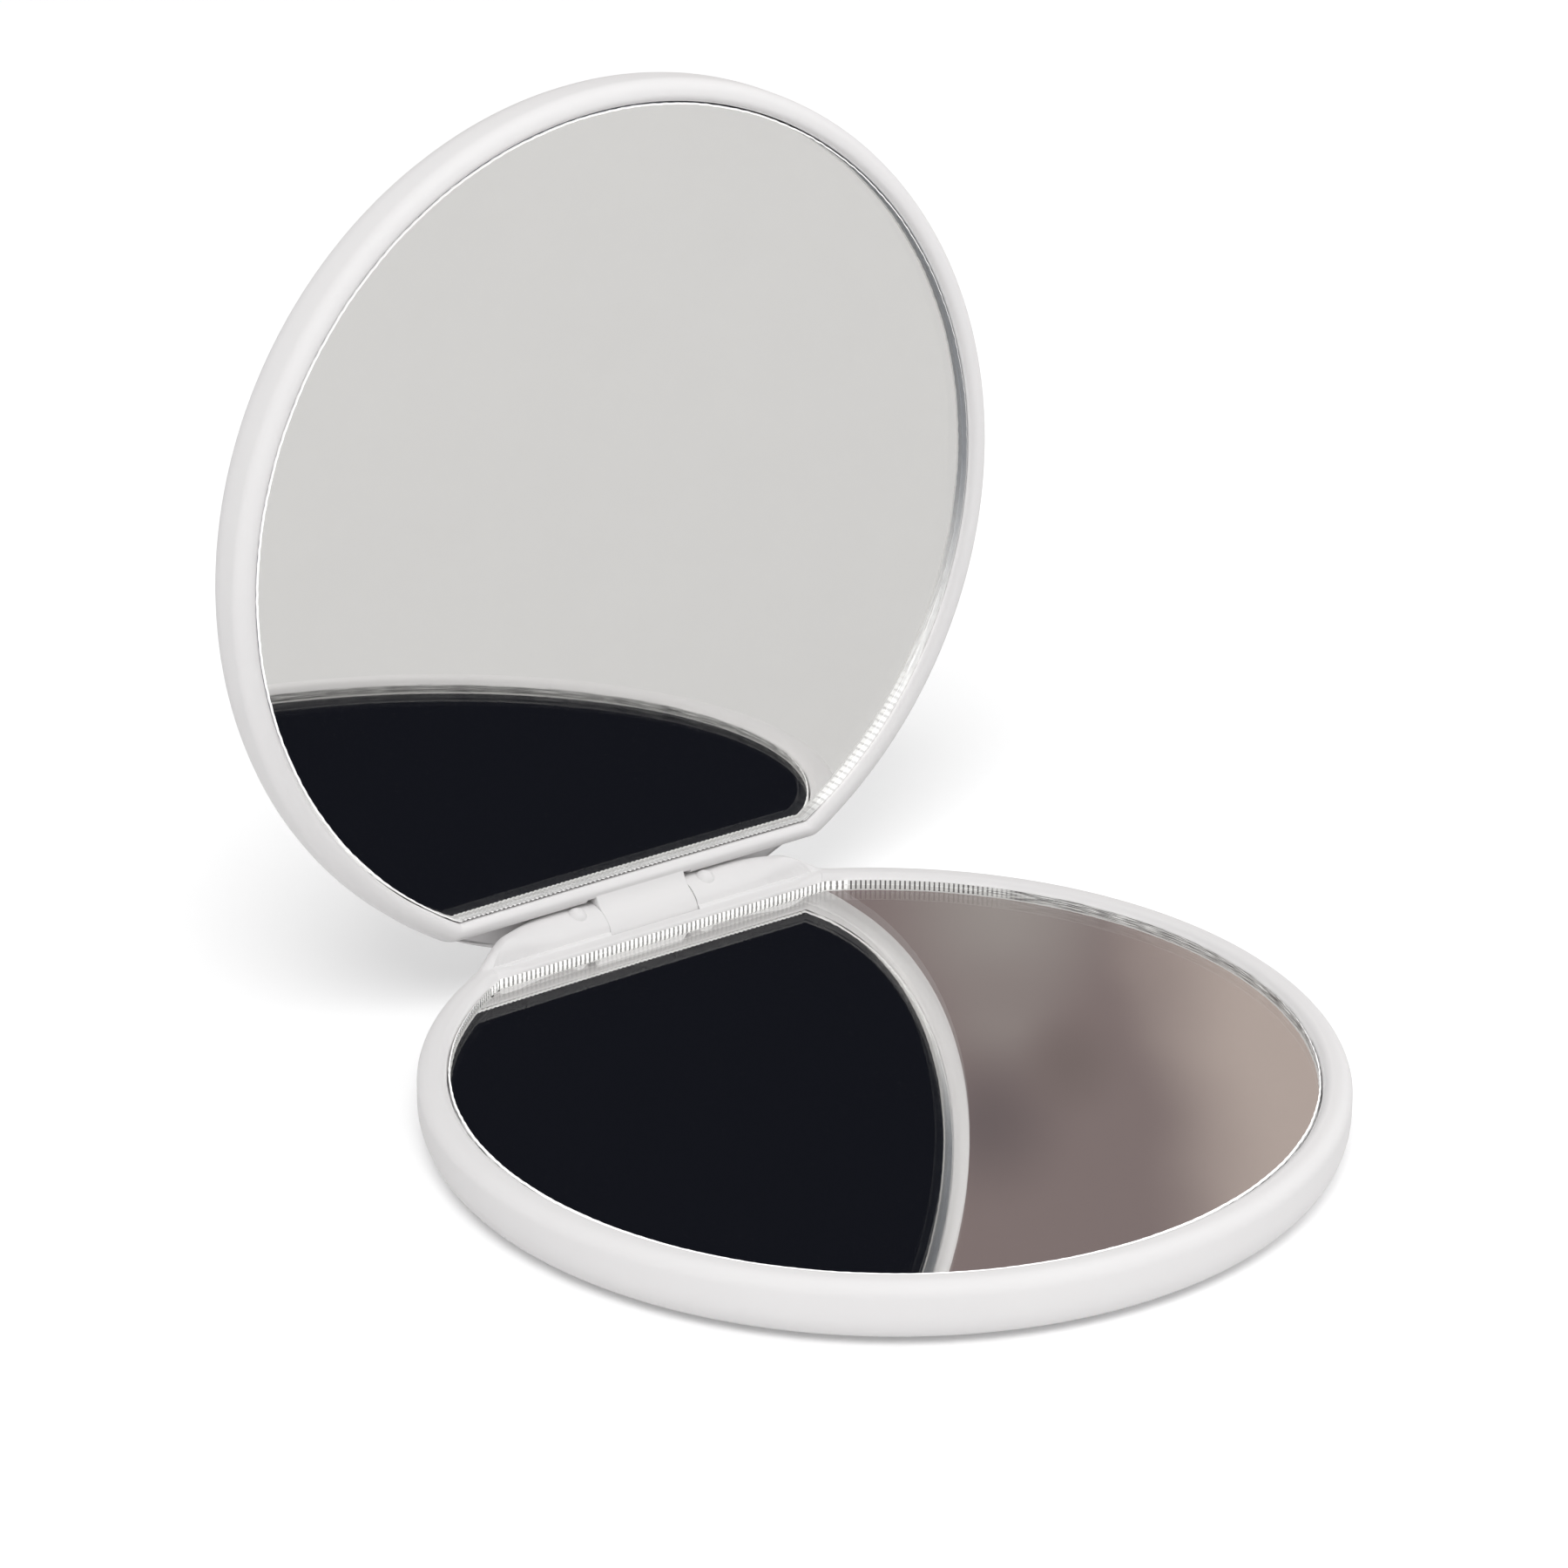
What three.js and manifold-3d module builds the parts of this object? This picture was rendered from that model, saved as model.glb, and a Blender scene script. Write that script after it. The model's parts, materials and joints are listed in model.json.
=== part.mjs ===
// Round folding pocket mirror: two moulded shells on a pin hinge, each with a D-shaped mirror plate.
// The base holds a flat mirror and the lid a concave, magnifying one. Millimetres, +Z up.
// The origin is the middle of the flat underside; +Y points at the hinge, whose pin lies along X.
import * as THREE from 'three';
import { mergeGeometries, mergeVertices } from 'three/addons/utils/BufferGeometryUtils.js';
import Module from 'manifold-3d';

// Case
const CASE_RADIUS = 35;
const SHELL_HEIGHT = 5.3;
const OPEN_ANGLE = THREE.MathUtils.degToRad(92.5);
const FLAT_MARGIN = 8;
const CROWN_RISE = 0.5;
const EDGE_ROUND_WIDTH = 1.7;
const EDGE_ROUND_HEIGHT = 2.4;
const SKIN = 1.5;

// Rims, round-nosed; the lid's is the narrower
const BASE_RIM_WIDTH = 2.3;
const LID_RIM_WIDTH = 1.8;
const RIM_OUTER_ROUND = 1.1;
const RIM_INNER_ROUND = 0.6;

// Mirrors and their foam tape
const MIRROR_RECESS = 0.45;
const PLATE_THICKNESS = 1.2;
const PLATE_EDGE_GAP = 0.2;
const PLATE_CORNER = 0.8;
const CHORD_INSET = 6.2;
const MAGNIFIER_CURVE_RADIUS = 1000;
const TAPE_THICKNESS = 0.6;
const TAPE_INSET = 1.2;
const TAPE_RING_WIDTH = 3;
const BOND_GAP = 0.1;

// Ribs under the mirrors
const LEDGE_WIDTH = 5;
const RIB_THICKNESS = 1;
const RIB_RING_RADIUS = 15;
const RIB_COUNT = 10;

// Hinge
const HINGE_INSET = 3.1;
const PIN_RADIUS = 0.6;
const PIN_CLEARANCE = 0.08;
const PIN_BLIND_WALL = 3.4;
const PIN_SUNK = 0.6;
const KNUCKLE_RADIUS = 1.85;
const KNUCKLE_HALF_LENGTH = 4.15;
const KNUCKLE_END_GAP = 0.15;
const KNUCKLE_TOE_RADIUS = 0.6;
const SWING_CLEARANCE = 0.2;

// Saddle along the back of the base, which carries the two outer knuckles
const SADDLE_RISE = 1.5;
const SADDLE_CREST_DROP = 0.1;
const SADDLE_FILLET = 0.5;
const SADDLE_HALF_FLAT = 12.9;
const SADDLE_HALF_LENGTH = 16.9;
const LAND_DROP = 0.2;
const LAND_ROUND = 0.2;
const GAP_WALL = 0.45;
const DETENT_RADIUS = 1;
const DETENT_RISE = 0.2;
const DETENT_CENTRE = 6.1;
const DETENT_WIDTH = 1.7;
const DETENT_ROUND = 0.5;

// Hinge side of the lid
const LIP_THICKNESS = 2.8;
const LIP_WALL_GAP = 0.4;
const LID_CORNER = 2.2;
const BAR_INNER_ROUND = 0.45;
const BAR_OUTER_ROUND = 0.55;
const BAR_NOSE_HEIGHT = 0.9;
const NOTCH_WIDTH = 1.3;
const NOTCH_DEPTH = 0.6;

// Smoothness of round forms
const TURN_STEPS = 80;
const HINGE_STEPS = 28;
const HINGE_SECTOR = Math.PI / 3;
const ROUND_STEPS = 4;
const FINE_STEPS = 20;
const DISH_STEPS = 4;

// Sizes that follow from those above
const RIM_TOP = SHELL_HEIGHT;
const FLAT_RADIUS = CASE_RADIUS - FLAT_MARGIN;
const POCKET_CHORD = CASE_RADIUS - CHORD_INSET;
const HINGE_Y = CASE_RADIUS - HINGE_INSET;
const BORE_MOUTH = Math.sqrt(CASE_RADIUS ** 2 - HINGE_Y ** 2);
const BORE_BLIND_END = PIN_BLIND_WALL - BORE_MOUTH;
const BASE_POCKET_RADIUS = CASE_RADIUS - BASE_RIM_WIDTH;
const LID_POCKET_RADIUS = CASE_RADIUS - LID_RIM_WIDTH;
const PLATE_FRONT = RIM_TOP - MIRROR_RECESS;
const PLATE_BACK = PLATE_FRONT - PLATE_THICKNESS;
const TAPE_TOP = PLATE_BACK - BOND_GAP;
const SEAT = TAPE_TOP - TAPE_THICKNESS - BOND_GAP;
const LAND = RIM_TOP - LAND_DROP;
const SADDLE_FOOT = HINGE_Y - KNUCKLE_RADIUS;
const LID_CHORD = SADDLE_FOOT - SWING_CLEARANCE;
const GAP_FRONT = POCKET_CHORD + GAP_WALL;
const KNUCKLE_REACH = HINGE_Y - GAP_FRONT - SWING_CLEARANCE;
const GAP_FLOOR = RIM_TOP - KNUCKLE_REACH - SWING_CLEARANCE;
const FAIRING_START = GAP_FRONT + SWING_CLEARANCE;
const BEYOND = 1;

const wasm = await Module();
wasm.setup();

// Solids: a closed geometry becomes a solid for joining and cutting, and goes back to a geometry
function solid(geometry) {
  const bare = geometry.clone();
  bare.deleteAttribute('normal');
  bare.deleteAttribute('uv');
  const merged = mergeVertices(bare, 1e-5);
  const vertProperties = new Float32Array(merged.attributes.position.array);
  const triVerts = new Uint32Array(merged.index.array);
  return new wasm.Manifold(new wasm.Mesh({ numProp: 3, vertProperties, triVerts }));
}

function geometryOf(body) {
  const mesh = body.getMesh();
  const geometry = new THREE.BufferGeometry();
  geometry.setAttribute('position', new THREE.BufferAttribute(new Float32Array(mesh.vertProperties), 3));
  geometry.setIndex(new THREE.BufferAttribute(new Uint32Array(mesh.triVerts), 1));
  geometry.computeVertexNormals();
  return geometry;
}

// Arc of an ellipse as points
function arcPoints(centre, semi, from, to, steps = ROUND_STEPS) {
  return new THREE.EllipseCurve(...centre, ...semi, from, to, to < from).getPoints(steps);
}

// Form revolved about Z, from (radius, height) points that start and end on the axis.
// The steps are finer over the sector at the hinge.
function turned(outline) {
  const halfSector = HINGE_SECTOR / 2;
  const rest = 2 * Math.PI - HINGE_SECTOR;
  const restSteps = Math.round(TURN_STEPS * rest / (2 * Math.PI));
  const lathe = mergeGeometries([
    new THREE.LatheGeometry(outline, HINGE_STEPS, Math.PI - halfSector, HINGE_SECTOR),
    new THREE.LatheGeometry(outline, restSteps, Math.PI + halfSector, rest),
  ]);
  lathe.rotateX(Math.PI / 2);
  return lathe;
}

// Upright prism: a plan shape raised from one height to another
function raised(shape, from, to) {
  const prism = new THREE.ExtrudeGeometry(shape, { depth: to - from, bevelEnabled: false });
  prism.translate(0, 0, from);
  return solid(prism);
}

// Prism along X: a (y, z) section drawn out between two x positions
function drawnAlongX(section, from, to, steps = 1) {
  const prism = new THREE.ExtrudeGeometry(section, {
    depth: to - from,
    steps,
    bevelEnabled: false,
    curveSegments: ROUND_STEPS,
  });
  prism.rotateY(Math.PI / 2);
  prism.rotateX(Math.PI / 2);
  prism.translate(from, 0, 0);
  return prism;
}

function alongX(section, from, to) {
  return solid(drawnAlongX(section, from, to));
}

function boxBetween(low, high) {
  const size = new THREE.Vector3().subVectors(high, low);
  const box = new THREE.BoxGeometry(size.x, size.y, size.z);
  box.translate(low.x + size.x / 2, low.y + size.y / 2, low.z + size.z / 2);
  return solid(box);
}

// Round bar along X, on the hinge line or some height above it
function hingeBar(radius, from, to, above = 0) {
  const bar = new THREE.CylinderGeometry(radius, radius, to - from, FINE_STEPS);
  bar.rotateZ(Math.PI / 2);
  bar.translate((from + to) / 2, HINGE_Y, RIM_TOP + above);
  return solid(bar);
}

function disc(radius) {
  return new THREE.Shape(arcPoints([0, 0], [radius, radius], 0, 2 * Math.PI, TURN_STEPS).slice(1));
}

// Plan of a disc cut off by a chord on the hinge side, with rounded corners
function dShape(radius, chord, corner) {
  const inner = radius - corner;
  const cornerY = chord - corner;
  const cornerX = Math.sqrt(inner ** 2 - cornerY ** 2);
  const meet = Math.atan2(cornerY, cornerX);
  const steps = Math.round(TURN_STEPS * (Math.PI + 2 * meet) / (2 * Math.PI));
  return new THREE.Shape([
    ...arcPoints([0, 0], [radius, radius], Math.PI - meet, 2 * Math.PI + meet, steps),
    ...arcPoints([cornerX, cornerY], [corner, corner], meet, Math.PI / 2).slice(1),
    ...arcPoints([-cornerX, cornerY], [corner, corner], Math.PI / 2, Math.PI - meet).slice(0, -1),
  ]);
}

// Round cup that both shells start from: flat face, soft crown, round edge, wall and round-nosed rim
function cup(pocketRadius) {
  const crownEdge = CASE_RADIUS - EDGE_ROUND_WIDTH;
  const wallFoot = CROWN_RISE + EDGE_ROUND_HEIGHT;
  const outer = [CASE_RADIUS - RIM_OUTER_ROUND, RIM_TOP - RIM_OUTER_ROUND];
  const inner = [pocketRadius + RIM_INNER_ROUND, RIM_TOP - RIM_INNER_ROUND];
  const crownWidth = crownEdge - FLAT_RADIUS;
  const crownRadius = (crownWidth ** 2 + CROWN_RISE ** 2) / (2 * CROWN_RISE);
  const crownEnd = Math.asin(crownWidth / crownRadius) - Math.PI / 2;
  const crown = arcPoints([FLAT_RADIUS, crownRadius], [crownRadius, crownRadius], -Math.PI / 2, crownEnd);
  return turned([
    new THREE.Vector2(0, 0),
    ...crown.slice(0, -1),
    ...arcPoints([crownEdge, wallFoot], [EDGE_ROUND_WIDTH, EDGE_ROUND_HEIGHT], -Math.PI / 2, 0),
    ...arcPoints(outer, [RIM_OUTER_ROUND, RIM_OUTER_ROUND], 0, Math.PI / 2),
    ...arcPoints(inner, [RIM_INNER_ROUND, RIM_INNER_ROUND], Math.PI / 2, Math.PI),
    new THREE.Vector2(pocketRadius, SEAT),
    new THREE.Vector2(0, SEAT),
  ]);
}

// Cells between the ribs under a mirror, inside a ledge for the tape
function ribCells(pocketRadius) {
  const inside = dShape(pocketRadius - LEDGE_WIDTH, POCKET_CHORD - LEDGE_WIDTH, PLATE_CORNER);
  const cells = raised(inside, SKIN, RIM_TOP);
  let ribs = raised(disc(RIB_RING_RADIUS + RIB_THICKNESS / 2), 0, SEAT)
    .subtract(raised(disc(RIB_RING_RADIUS - RIB_THICKNESS / 2), 0, RIM_TOP));
  for (let i = 0; i < RIB_COUNT; i += 1) {
    const rib = new THREE.BoxGeometry(CASE_RADIUS, RIB_THICKNESS, SEAT);
    rib.translate(CASE_RADIUS / 2, 0, SEAT / 2);
    rib.rotateZ((i + 0.5) * (2 * Math.PI / RIB_COUNT));
    ribs = ribs.add(solid(rib));
  }
  return cells.subtract(ribs);
}

// Height of the saddle above the rim: level in the middle, easing down to the rim at both ends
function saddleLift(x) {
  return SADDLE_RISE * (1 - THREE.MathUtils.smoothstep(Math.abs(x), SADDLE_HALF_FLAT, SADDLE_HALF_LENGTH));
}

// The base's rim swells up into the back of the saddle, behind where the lid's bar comes down
function baseCup() {
  const lathe = cup(BASE_POCKET_RADIUS);
  const points = lathe.attributes.position;
  const swellStart = SADDLE_FOOT + 2 * SWING_CLEARANCE;
  const midWall = (CROWN_RISE + EDGE_ROUND_HEIGHT + RIM_TOP - RIM_OUTER_ROUND) / 2;
  for (let i = 0; i < points.count; i += 1) {
    const point = new THREE.Vector3().fromBufferAttribute(points, i);
    const inward = Math.max(0, BASE_POCKET_RADIUS + RIM_INNER_ROUND - Math.hypot(point.x, point.y));
    const behind = THREE.MathUtils.smoothstep(point.y, swellStart, swellStart + SADDLE_FILLET);
    const share = behind * (1 - Math.min(1, inward / RIM_INNER_ROUND));
    const onNose = point.z > midWall && point.y > 0;
    if (onNose) points.setZ(i, point.z + share * saddleLift(point.x));
  }
  return solid(lathe);
}

// Level land behind the base's mirror, and the saddle that swells up from it in a soft slope
function saddle() {
  const land = new THREE.Shape();
  land.moveTo(POCKET_CHORD, SKIN);
  land.lineTo(CASE_RADIUS, SKIN);
  land.lineTo(CASE_RADIUS, LAND);
  land.lineTo(POCKET_CHORD + LAND_ROUND, LAND);
  land.absarc(POCKET_CHORD + LAND_ROUND, LAND - LAND_ROUND, LAND_ROUND, Math.PI / 2, Math.PI, false);

  const crestTop = RIM_TOP + SADDLE_RISE - SADDLE_CREST_DROP;
  const run = HINGE_Y - GAP_FRONT;
  const middle = HINGE_Y - run / 2;
  const section = new THREE.Shape();
  section.moveTo(GAP_FRONT, SKIN);
  section.lineTo(CASE_RADIUS, SKIN);
  section.lineTo(CASE_RADIUS, crestTop);
  section.lineTo(HINGE_Y, crestTop);
  section.quadraticCurveTo(middle + run / 4, crestTop, middle, (crestTop + LAND) / 2);
  section.quadraticCurveTo(middle - run / 4, LAND, GAP_FRONT, LAND);

  const bulge = drawnAlongX(section, -SADDLE_HALF_LENGTH, SADDLE_HALF_LENGTH, 2 * FINE_STEPS);
  const points = bulge.attributes.position;
  for (let i = 0; i < points.count; i += 1) {
    const share = saddleLift(points.getX(i)) / SADDLE_RISE;
    const above = points.getZ(i) - LAND;
    if (above > 0) points.setZ(i, LAND + above * share);
  }

  const landFill = alongX(land, -CASE_RADIUS, CASE_RADIUS)
    .intersect(raised(disc(BASE_POCKET_RADIUS + RIM_INNER_ROUND), 0, RIM_TOP));
  const crest = (BASE_POCKET_RADIUS + RIM_INNER_ROUND + CASE_RADIUS - RIM_OUTER_ROUND) / 2;
  const inRim = raised(disc(crest), 0, RIM_TOP + KNUCKLE_RADIUS);
  return landFill.add(solid(bulge).intersect(inRim));
}

// Rounded ridge on the crest of the saddle, which the lid's edge clicks over
function detentRidge(centreX) {
  const half = DETENT_WIDTH / 2;
  const shoulder = half - DETENT_ROUND;
  const neck = DETENT_RADIUS - DETENT_ROUND;
  const ridge = new THREE.LatheGeometry([
    new THREE.Vector2(0, -half),
    ...arcPoints([neck, -shoulder], [DETENT_ROUND, DETENT_ROUND], -Math.PI / 2, 0),
    ...arcPoints([neck, shoulder], [DETENT_ROUND, DETENT_ROUND], 0, Math.PI / 2),
    new THREE.Vector2(0, half),
  ], FINE_STEPS);
  ridge.rotateZ(Math.PI / 2);
  ridge.translate(centreX, HINGE_Y, RIM_TOP + SADDLE_RISE + DETENT_RISE - DETENT_RADIUS);
  return solid(ridge);
}

function baseShell() {
  const gapHalf = KNUCKLE_HALF_LENGTH + KNUCKLE_END_GAP;
  const knuckleGap = boxBetween(
    new THREE.Vector3(-gapHalf, GAP_FRONT, GAP_FLOOR),
    new THREE.Vector3(gapHalf, CASE_RADIUS + BEYOND, RIM_TOP + KNUCKLE_RADIUS + BEYOND),
  );
  return baseCup()
    .subtract(ribCells(BASE_POCKET_RADIUS))
    .add(saddle())
    .add(detentRidge(-DETENT_CENTRE))
    .add(detentRidge(DETENT_CENTRE))
    .subtract(knuckleGap)
    .subtract(hingeBar(PIN_RADIUS + PIN_CLEARANCE, BORE_BLIND_END, CASE_RADIUS));
}

// Round-nosed bar along the lid's chord, and the thinner lip behind it that completes the disc
function chordBarAndLip() {
  const inner = POCKET_CHORD + BAR_INNER_ROUND;
  const outer = LID_CHORD - BAR_OUTER_ROUND;
  const noseFoot = RIM_TOP - BAR_NOSE_HEIGHT;
  const section = new THREE.Shape();
  section.moveTo(POCKET_CHORD, SKIN);
  section.lineTo(CASE_RADIUS, SKIN);
  section.lineTo(CASE_RADIUS, LIP_THICKNESS);
  section.lineTo(LID_CHORD, LIP_THICKNESS);
  section.absellipse(outer, noseFoot, BAR_OUTER_ROUND, BAR_NOSE_HEIGHT, 0, Math.PI / 2, false);
  section.absellipse(inner, noseFoot, BAR_INNER_ROUND, BAR_NOSE_HEIGHT, Math.PI / 2, Math.PI, false);
  return alongX(section, -CASE_RADIUS, CASE_RADIUS)
    .intersect(raised(disc(LID_POCKET_RADIUS + RIM_INNER_ROUND), 0, RIM_TOP));
}

// Centre knuckle of the lid: a barrel on the hinge line, a slope from it up to the chord bar, and a
// toe that fills the gap in the base when the lid stands open
function centreKnuckle() {
  const ends = [-KNUCKLE_HALF_LENGTH, KNUCKLE_HALF_LENGTH];
  const barrel = hingeBar(KNUCKLE_RADIUS, ...ends);
  const toe = hingeBar(KNUCKLE_TOE_RADIUS, ...ends, KNUCKLE_REACH - KNUCKLE_TOE_RADIUS);
  const web = boxBetween(
    new THREE.Vector3(-KNUCKLE_HALF_LENGTH, FAIRING_START, SKIN),
    new THREE.Vector3(KNUCKLE_HALF_LENGTH, HINGE_Y, RIM_TOP),
  );
  return wasm.Manifold.hull([barrel, toe, web]);
}

// The lip is hollowed to pass round the back wall of the base when the lid stands open
function lipHollow() {
  const radius = CASE_RADIUS + LIP_WALL_GAP;
  const length = CASE_RADIUS + BEYOND - LID_CHORD;
  const hollow = new THREE.CylinderGeometry(radius, radius, length, TURN_STEPS * 2);
  hollow.translate(0, LID_CHORD + length / 2, RIM_TOP + HINGE_Y);
  return solid(hollow);
}

function reliefNotch(side) {
  const inner = side * KNUCKLE_HALF_LENGTH;
  const outer = side * (KNUCKLE_HALF_LENGTH + NOTCH_WIDTH);
  return boxBetween(
    new THREE.Vector3(Math.min(inner, outer), LID_CHORD - NOTCH_DEPTH, RIM_TOP - KNUCKLE_RADIUS),
    new THREE.Vector3(Math.max(inner, outer), CASE_RADIUS, RIM_TOP + BEYOND),
  );
}

function lidShell() {
  const rimPart = raised(dShape(CASE_RADIUS, LID_CHORD, LID_CORNER), LIP_THICKNESS, RIM_TOP + BEYOND);
  const lipPart = raised(disc(CASE_RADIUS + BEYOND), -BEYOND, LIP_THICKNESS);
  return solid(cup(LID_POCKET_RADIUS))
    .subtract(ribCells(LID_POCKET_RADIUS))
    .add(chordBarAndLip())
    .intersect(rimPart.add(lipPart))
    .subtract(lipHollow())
    .add(centreKnuckle())
    .subtract(reliefNotch(-1))
    .subtract(reliefNotch(1))
    .subtract(hingeBar(PIN_RADIUS + PIN_CLEARANCE, -CASE_RADIUS, CASE_RADIUS));
}

function hingePin() {
  return hingeBar(PIN_RADIUS, BORE_BLIND_END + PIN_SUNK, BORE_MOUTH - PIN_SUNK);
}

// Plan of a mirror plate in its pocket, or of something inset from its edge
function plateShape(pocketRadius, inset = 0) {
  const margin = PLATE_EDGE_GAP + inset;
  return dShape(pocketRadius - margin, POCKET_CHORD - margin, PLATE_CORNER);
}

function flatMirror() {
  return raised(plateShape(BASE_POCKET_RADIUS), PLATE_BACK, PLATE_FRONT);
}

// Dished disc: both faces follow the magnifier's curve, deepest in the middle
function dished(low, high) {
  const outline = [];
  const point = (ring, height) => {
    const radius = LID_POCKET_RADIUS * ring / DISH_STEPS;
    const depth = (LID_POCKET_RADIUS ** 2 - radius ** 2) / (2 * MAGNIFIER_CURVE_RADIUS);
    return new THREE.Vector2(radius, height - depth);
  };
  for (let i = 0; i <= DISH_STEPS; i += 1) outline.push(point(i, low));
  for (let i = DISH_STEPS; i >= 0; i -= 1) outline.push(point(i, high));
  return solid(turned(outline));
}

function concaveMirror() {
  return dished(PLATE_BACK, PLATE_FRONT).intersect(raised(plateShape(LID_POCKET_RADIUS), 0, RIM_TOP));
}

function tapeSheet(pocketRadius) {
  return raised(plateShape(pocketRadius, TAPE_INSET), SEAT + BOND_GAP, TAPE_TOP);
}

// The dished plate presses into its ring of foam tape
function lidTape() {
  return tapeSheet(LID_POCKET_RADIUS)
    .subtract(raised(plateShape(LID_POCKET_RADIUS, TAPE_INSET + TAPE_RING_WIDTH), 0, RIM_TOP))
    .subtract(dished(TAPE_TOP, RIM_TOP));
}

// Scene graph
const WHITE_PLASTIC = { color: 0xe9e7e6, roughness: 0.55, metalness: 0 };
const MIRROR_PLATE = { color: 0xd4d6d8, roughness: 0.03, metalness: 1 };
const TAPE_FOAM = { color: 0xc9c4b4, roughness: 0.9, metalness: 0 };
const PIN_STEEL = { color: 0xb4b6b9, roughness: 0.3, metalness: 1 };

function piece(name, body, look) {
  const mesh = new THREE.Mesh(geometryOf(body), new THREE.MeshStandardMaterial(look));
  mesh.name = name;
  return mesh;
}

const base = new THREE.Group();
base.add(piece('base_shell', baseShell(), WHITE_PLASTIC));
base.add(piece('base_mirror', flatMirror(), MIRROR_PLATE));
base.add(piece('base_mirror_tape', tapeSheet(BASE_POCKET_RADIUS), TAPE_FOAM));
base.add(piece('hinge_pin', hingePin(), PIN_STEEL));

// The lid's pieces are made rim up like the base, turned over onto it, then swung open about the pin
const lidTurnedOver = new THREE.Group();
lidTurnedOver.rotation.y = Math.PI;
lidTurnedOver.position.set(0, -HINGE_Y, RIM_TOP);
lidTurnedOver.add(piece('lid_shell', lidShell(), WHITE_PLASTIC));
lidTurnedOver.add(piece('lid_mirror', concaveMirror(), MIRROR_PLATE));
lidTurnedOver.add(piece('lid_mirror_tape', lidTape(), TAPE_FOAM));

const lid = new THREE.Group();
lid.position.set(0, HINGE_Y, RIM_TOP);
lid.rotation.x = -OPEN_ANGLE;
lid.add(lidTurnedOver);

const pocketMirror = new THREE.Group();
pocketMirror.add(base, lid);

export default pocketMirror;
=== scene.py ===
# %% [markdown]
# A folding pocket mirror in Blender. The CAD model is the frame: every piece made here sits in the
# same place, in metres, with +Z up and +Y towards the hinge. The shells and mirror plates are made
# anew, smoother than the CAD solids, and take over from them.

# %% Load the frame
import json
from math import asin, atan2, cos, degrees, hypot, pi, radians, sin, sqrt

import bpy
from mathutils import Matrix, Vector


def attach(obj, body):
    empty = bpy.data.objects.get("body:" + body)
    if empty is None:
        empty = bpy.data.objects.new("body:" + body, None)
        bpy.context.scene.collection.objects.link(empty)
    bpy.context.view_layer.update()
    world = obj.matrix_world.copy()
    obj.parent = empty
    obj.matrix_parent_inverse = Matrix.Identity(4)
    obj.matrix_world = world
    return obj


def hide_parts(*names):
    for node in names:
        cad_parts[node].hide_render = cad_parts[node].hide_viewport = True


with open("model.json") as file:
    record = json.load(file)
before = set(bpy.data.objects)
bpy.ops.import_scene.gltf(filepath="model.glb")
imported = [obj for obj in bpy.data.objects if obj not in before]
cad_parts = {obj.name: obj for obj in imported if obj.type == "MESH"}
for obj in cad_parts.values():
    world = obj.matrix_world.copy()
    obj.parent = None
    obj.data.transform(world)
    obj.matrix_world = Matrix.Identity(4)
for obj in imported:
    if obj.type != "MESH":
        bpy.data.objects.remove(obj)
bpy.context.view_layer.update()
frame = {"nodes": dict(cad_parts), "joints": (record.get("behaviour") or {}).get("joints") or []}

MM = 0.001

# %% [markdown]
# The driving sizes of the compact, in millimetres. Both shells are round, about 70 mm across, and
# 5.3 mm high each. Heights are given for a shell that lies rim up; the lid is made that way too and
# then turned over and swung open about the hinge line.

# %% Driving sizes
CASE_RADIUS = 34.96
RIM_TOP = 5.3
FLAT_RADIUS = 27
CROWN_RISE = 0.5
EDGE_ROUND_WIDTH = 1.7
EDGE_ROUND_HEIGHT = 2.4
SEAT = 2.85
POCKET_CHORD = 28.8
BASE_POCKET_RADIUS = 32.7
LID_POCKET_RADIUS = 33.2
BASE_RECESS = 0.35
LID_RECESS = 0.45
PLATE_THICKNESS = 1.2
PLATE_GAP = 0.12
HINGE_Y = 31.9
KNUCKLE_RADIUS = 1.85
KNUCKLE_HALF = 4.15
OPEN_ANGLE = radians(92.5)

hinge = frame["joints"][0]
print("hinge line at", hinge["pos_m"], "range", hinge["range_deg"])

# %% [markdown]
# Moulded shells are rings of points: a profile that changes a little as it goes round. A grid from
# the Add menu is a sheet with rows and columns, so it can be wrapped: each row becomes a ring, the
# two ends of the sheet meet in a seam that is then merged, and a ring drawn in to one point becomes
# a pole. This keeps clean four-sided faces, which shade far better than the result of a cut.

# %% Wrapping a sheet into a closed form
MERGE_DISTANCE = 0.002 * MM
SHELL_SMOOTH_ANGLE = radians(40)


def deselect_all():
    if bpy.context.mode != "OBJECT":
        bpy.ops.object.mode_set(mode="OBJECT")
    bpy.ops.object.select_all(action="DESELECT")


def make_active(piece):
    deselect_all()
    piece.select_set(True)
    bpy.context.view_layer.objects.active = piece


def apply_modifier(piece, kind, **settings):
    make_active(piece)
    modifier = piece.modifiers.new(kind.title(), kind)
    for key, value in settings.items():
        setattr(modifier, key, value)
    bpy.ops.object.modifier_apply(modifier=modifier.name)


def close_and_face_out(piece):
    make_active(piece)
    bpy.ops.object.mode_set(mode="EDIT")
    bpy.ops.mesh.select_all(action="SELECT")
    bpy.ops.mesh.remove_doubles(threshold=MERGE_DISTANCE)
    bpy.ops.mesh.normals_make_consistent(inside=False)
    bpy.ops.object.mode_set(mode="OBJECT")


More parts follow.
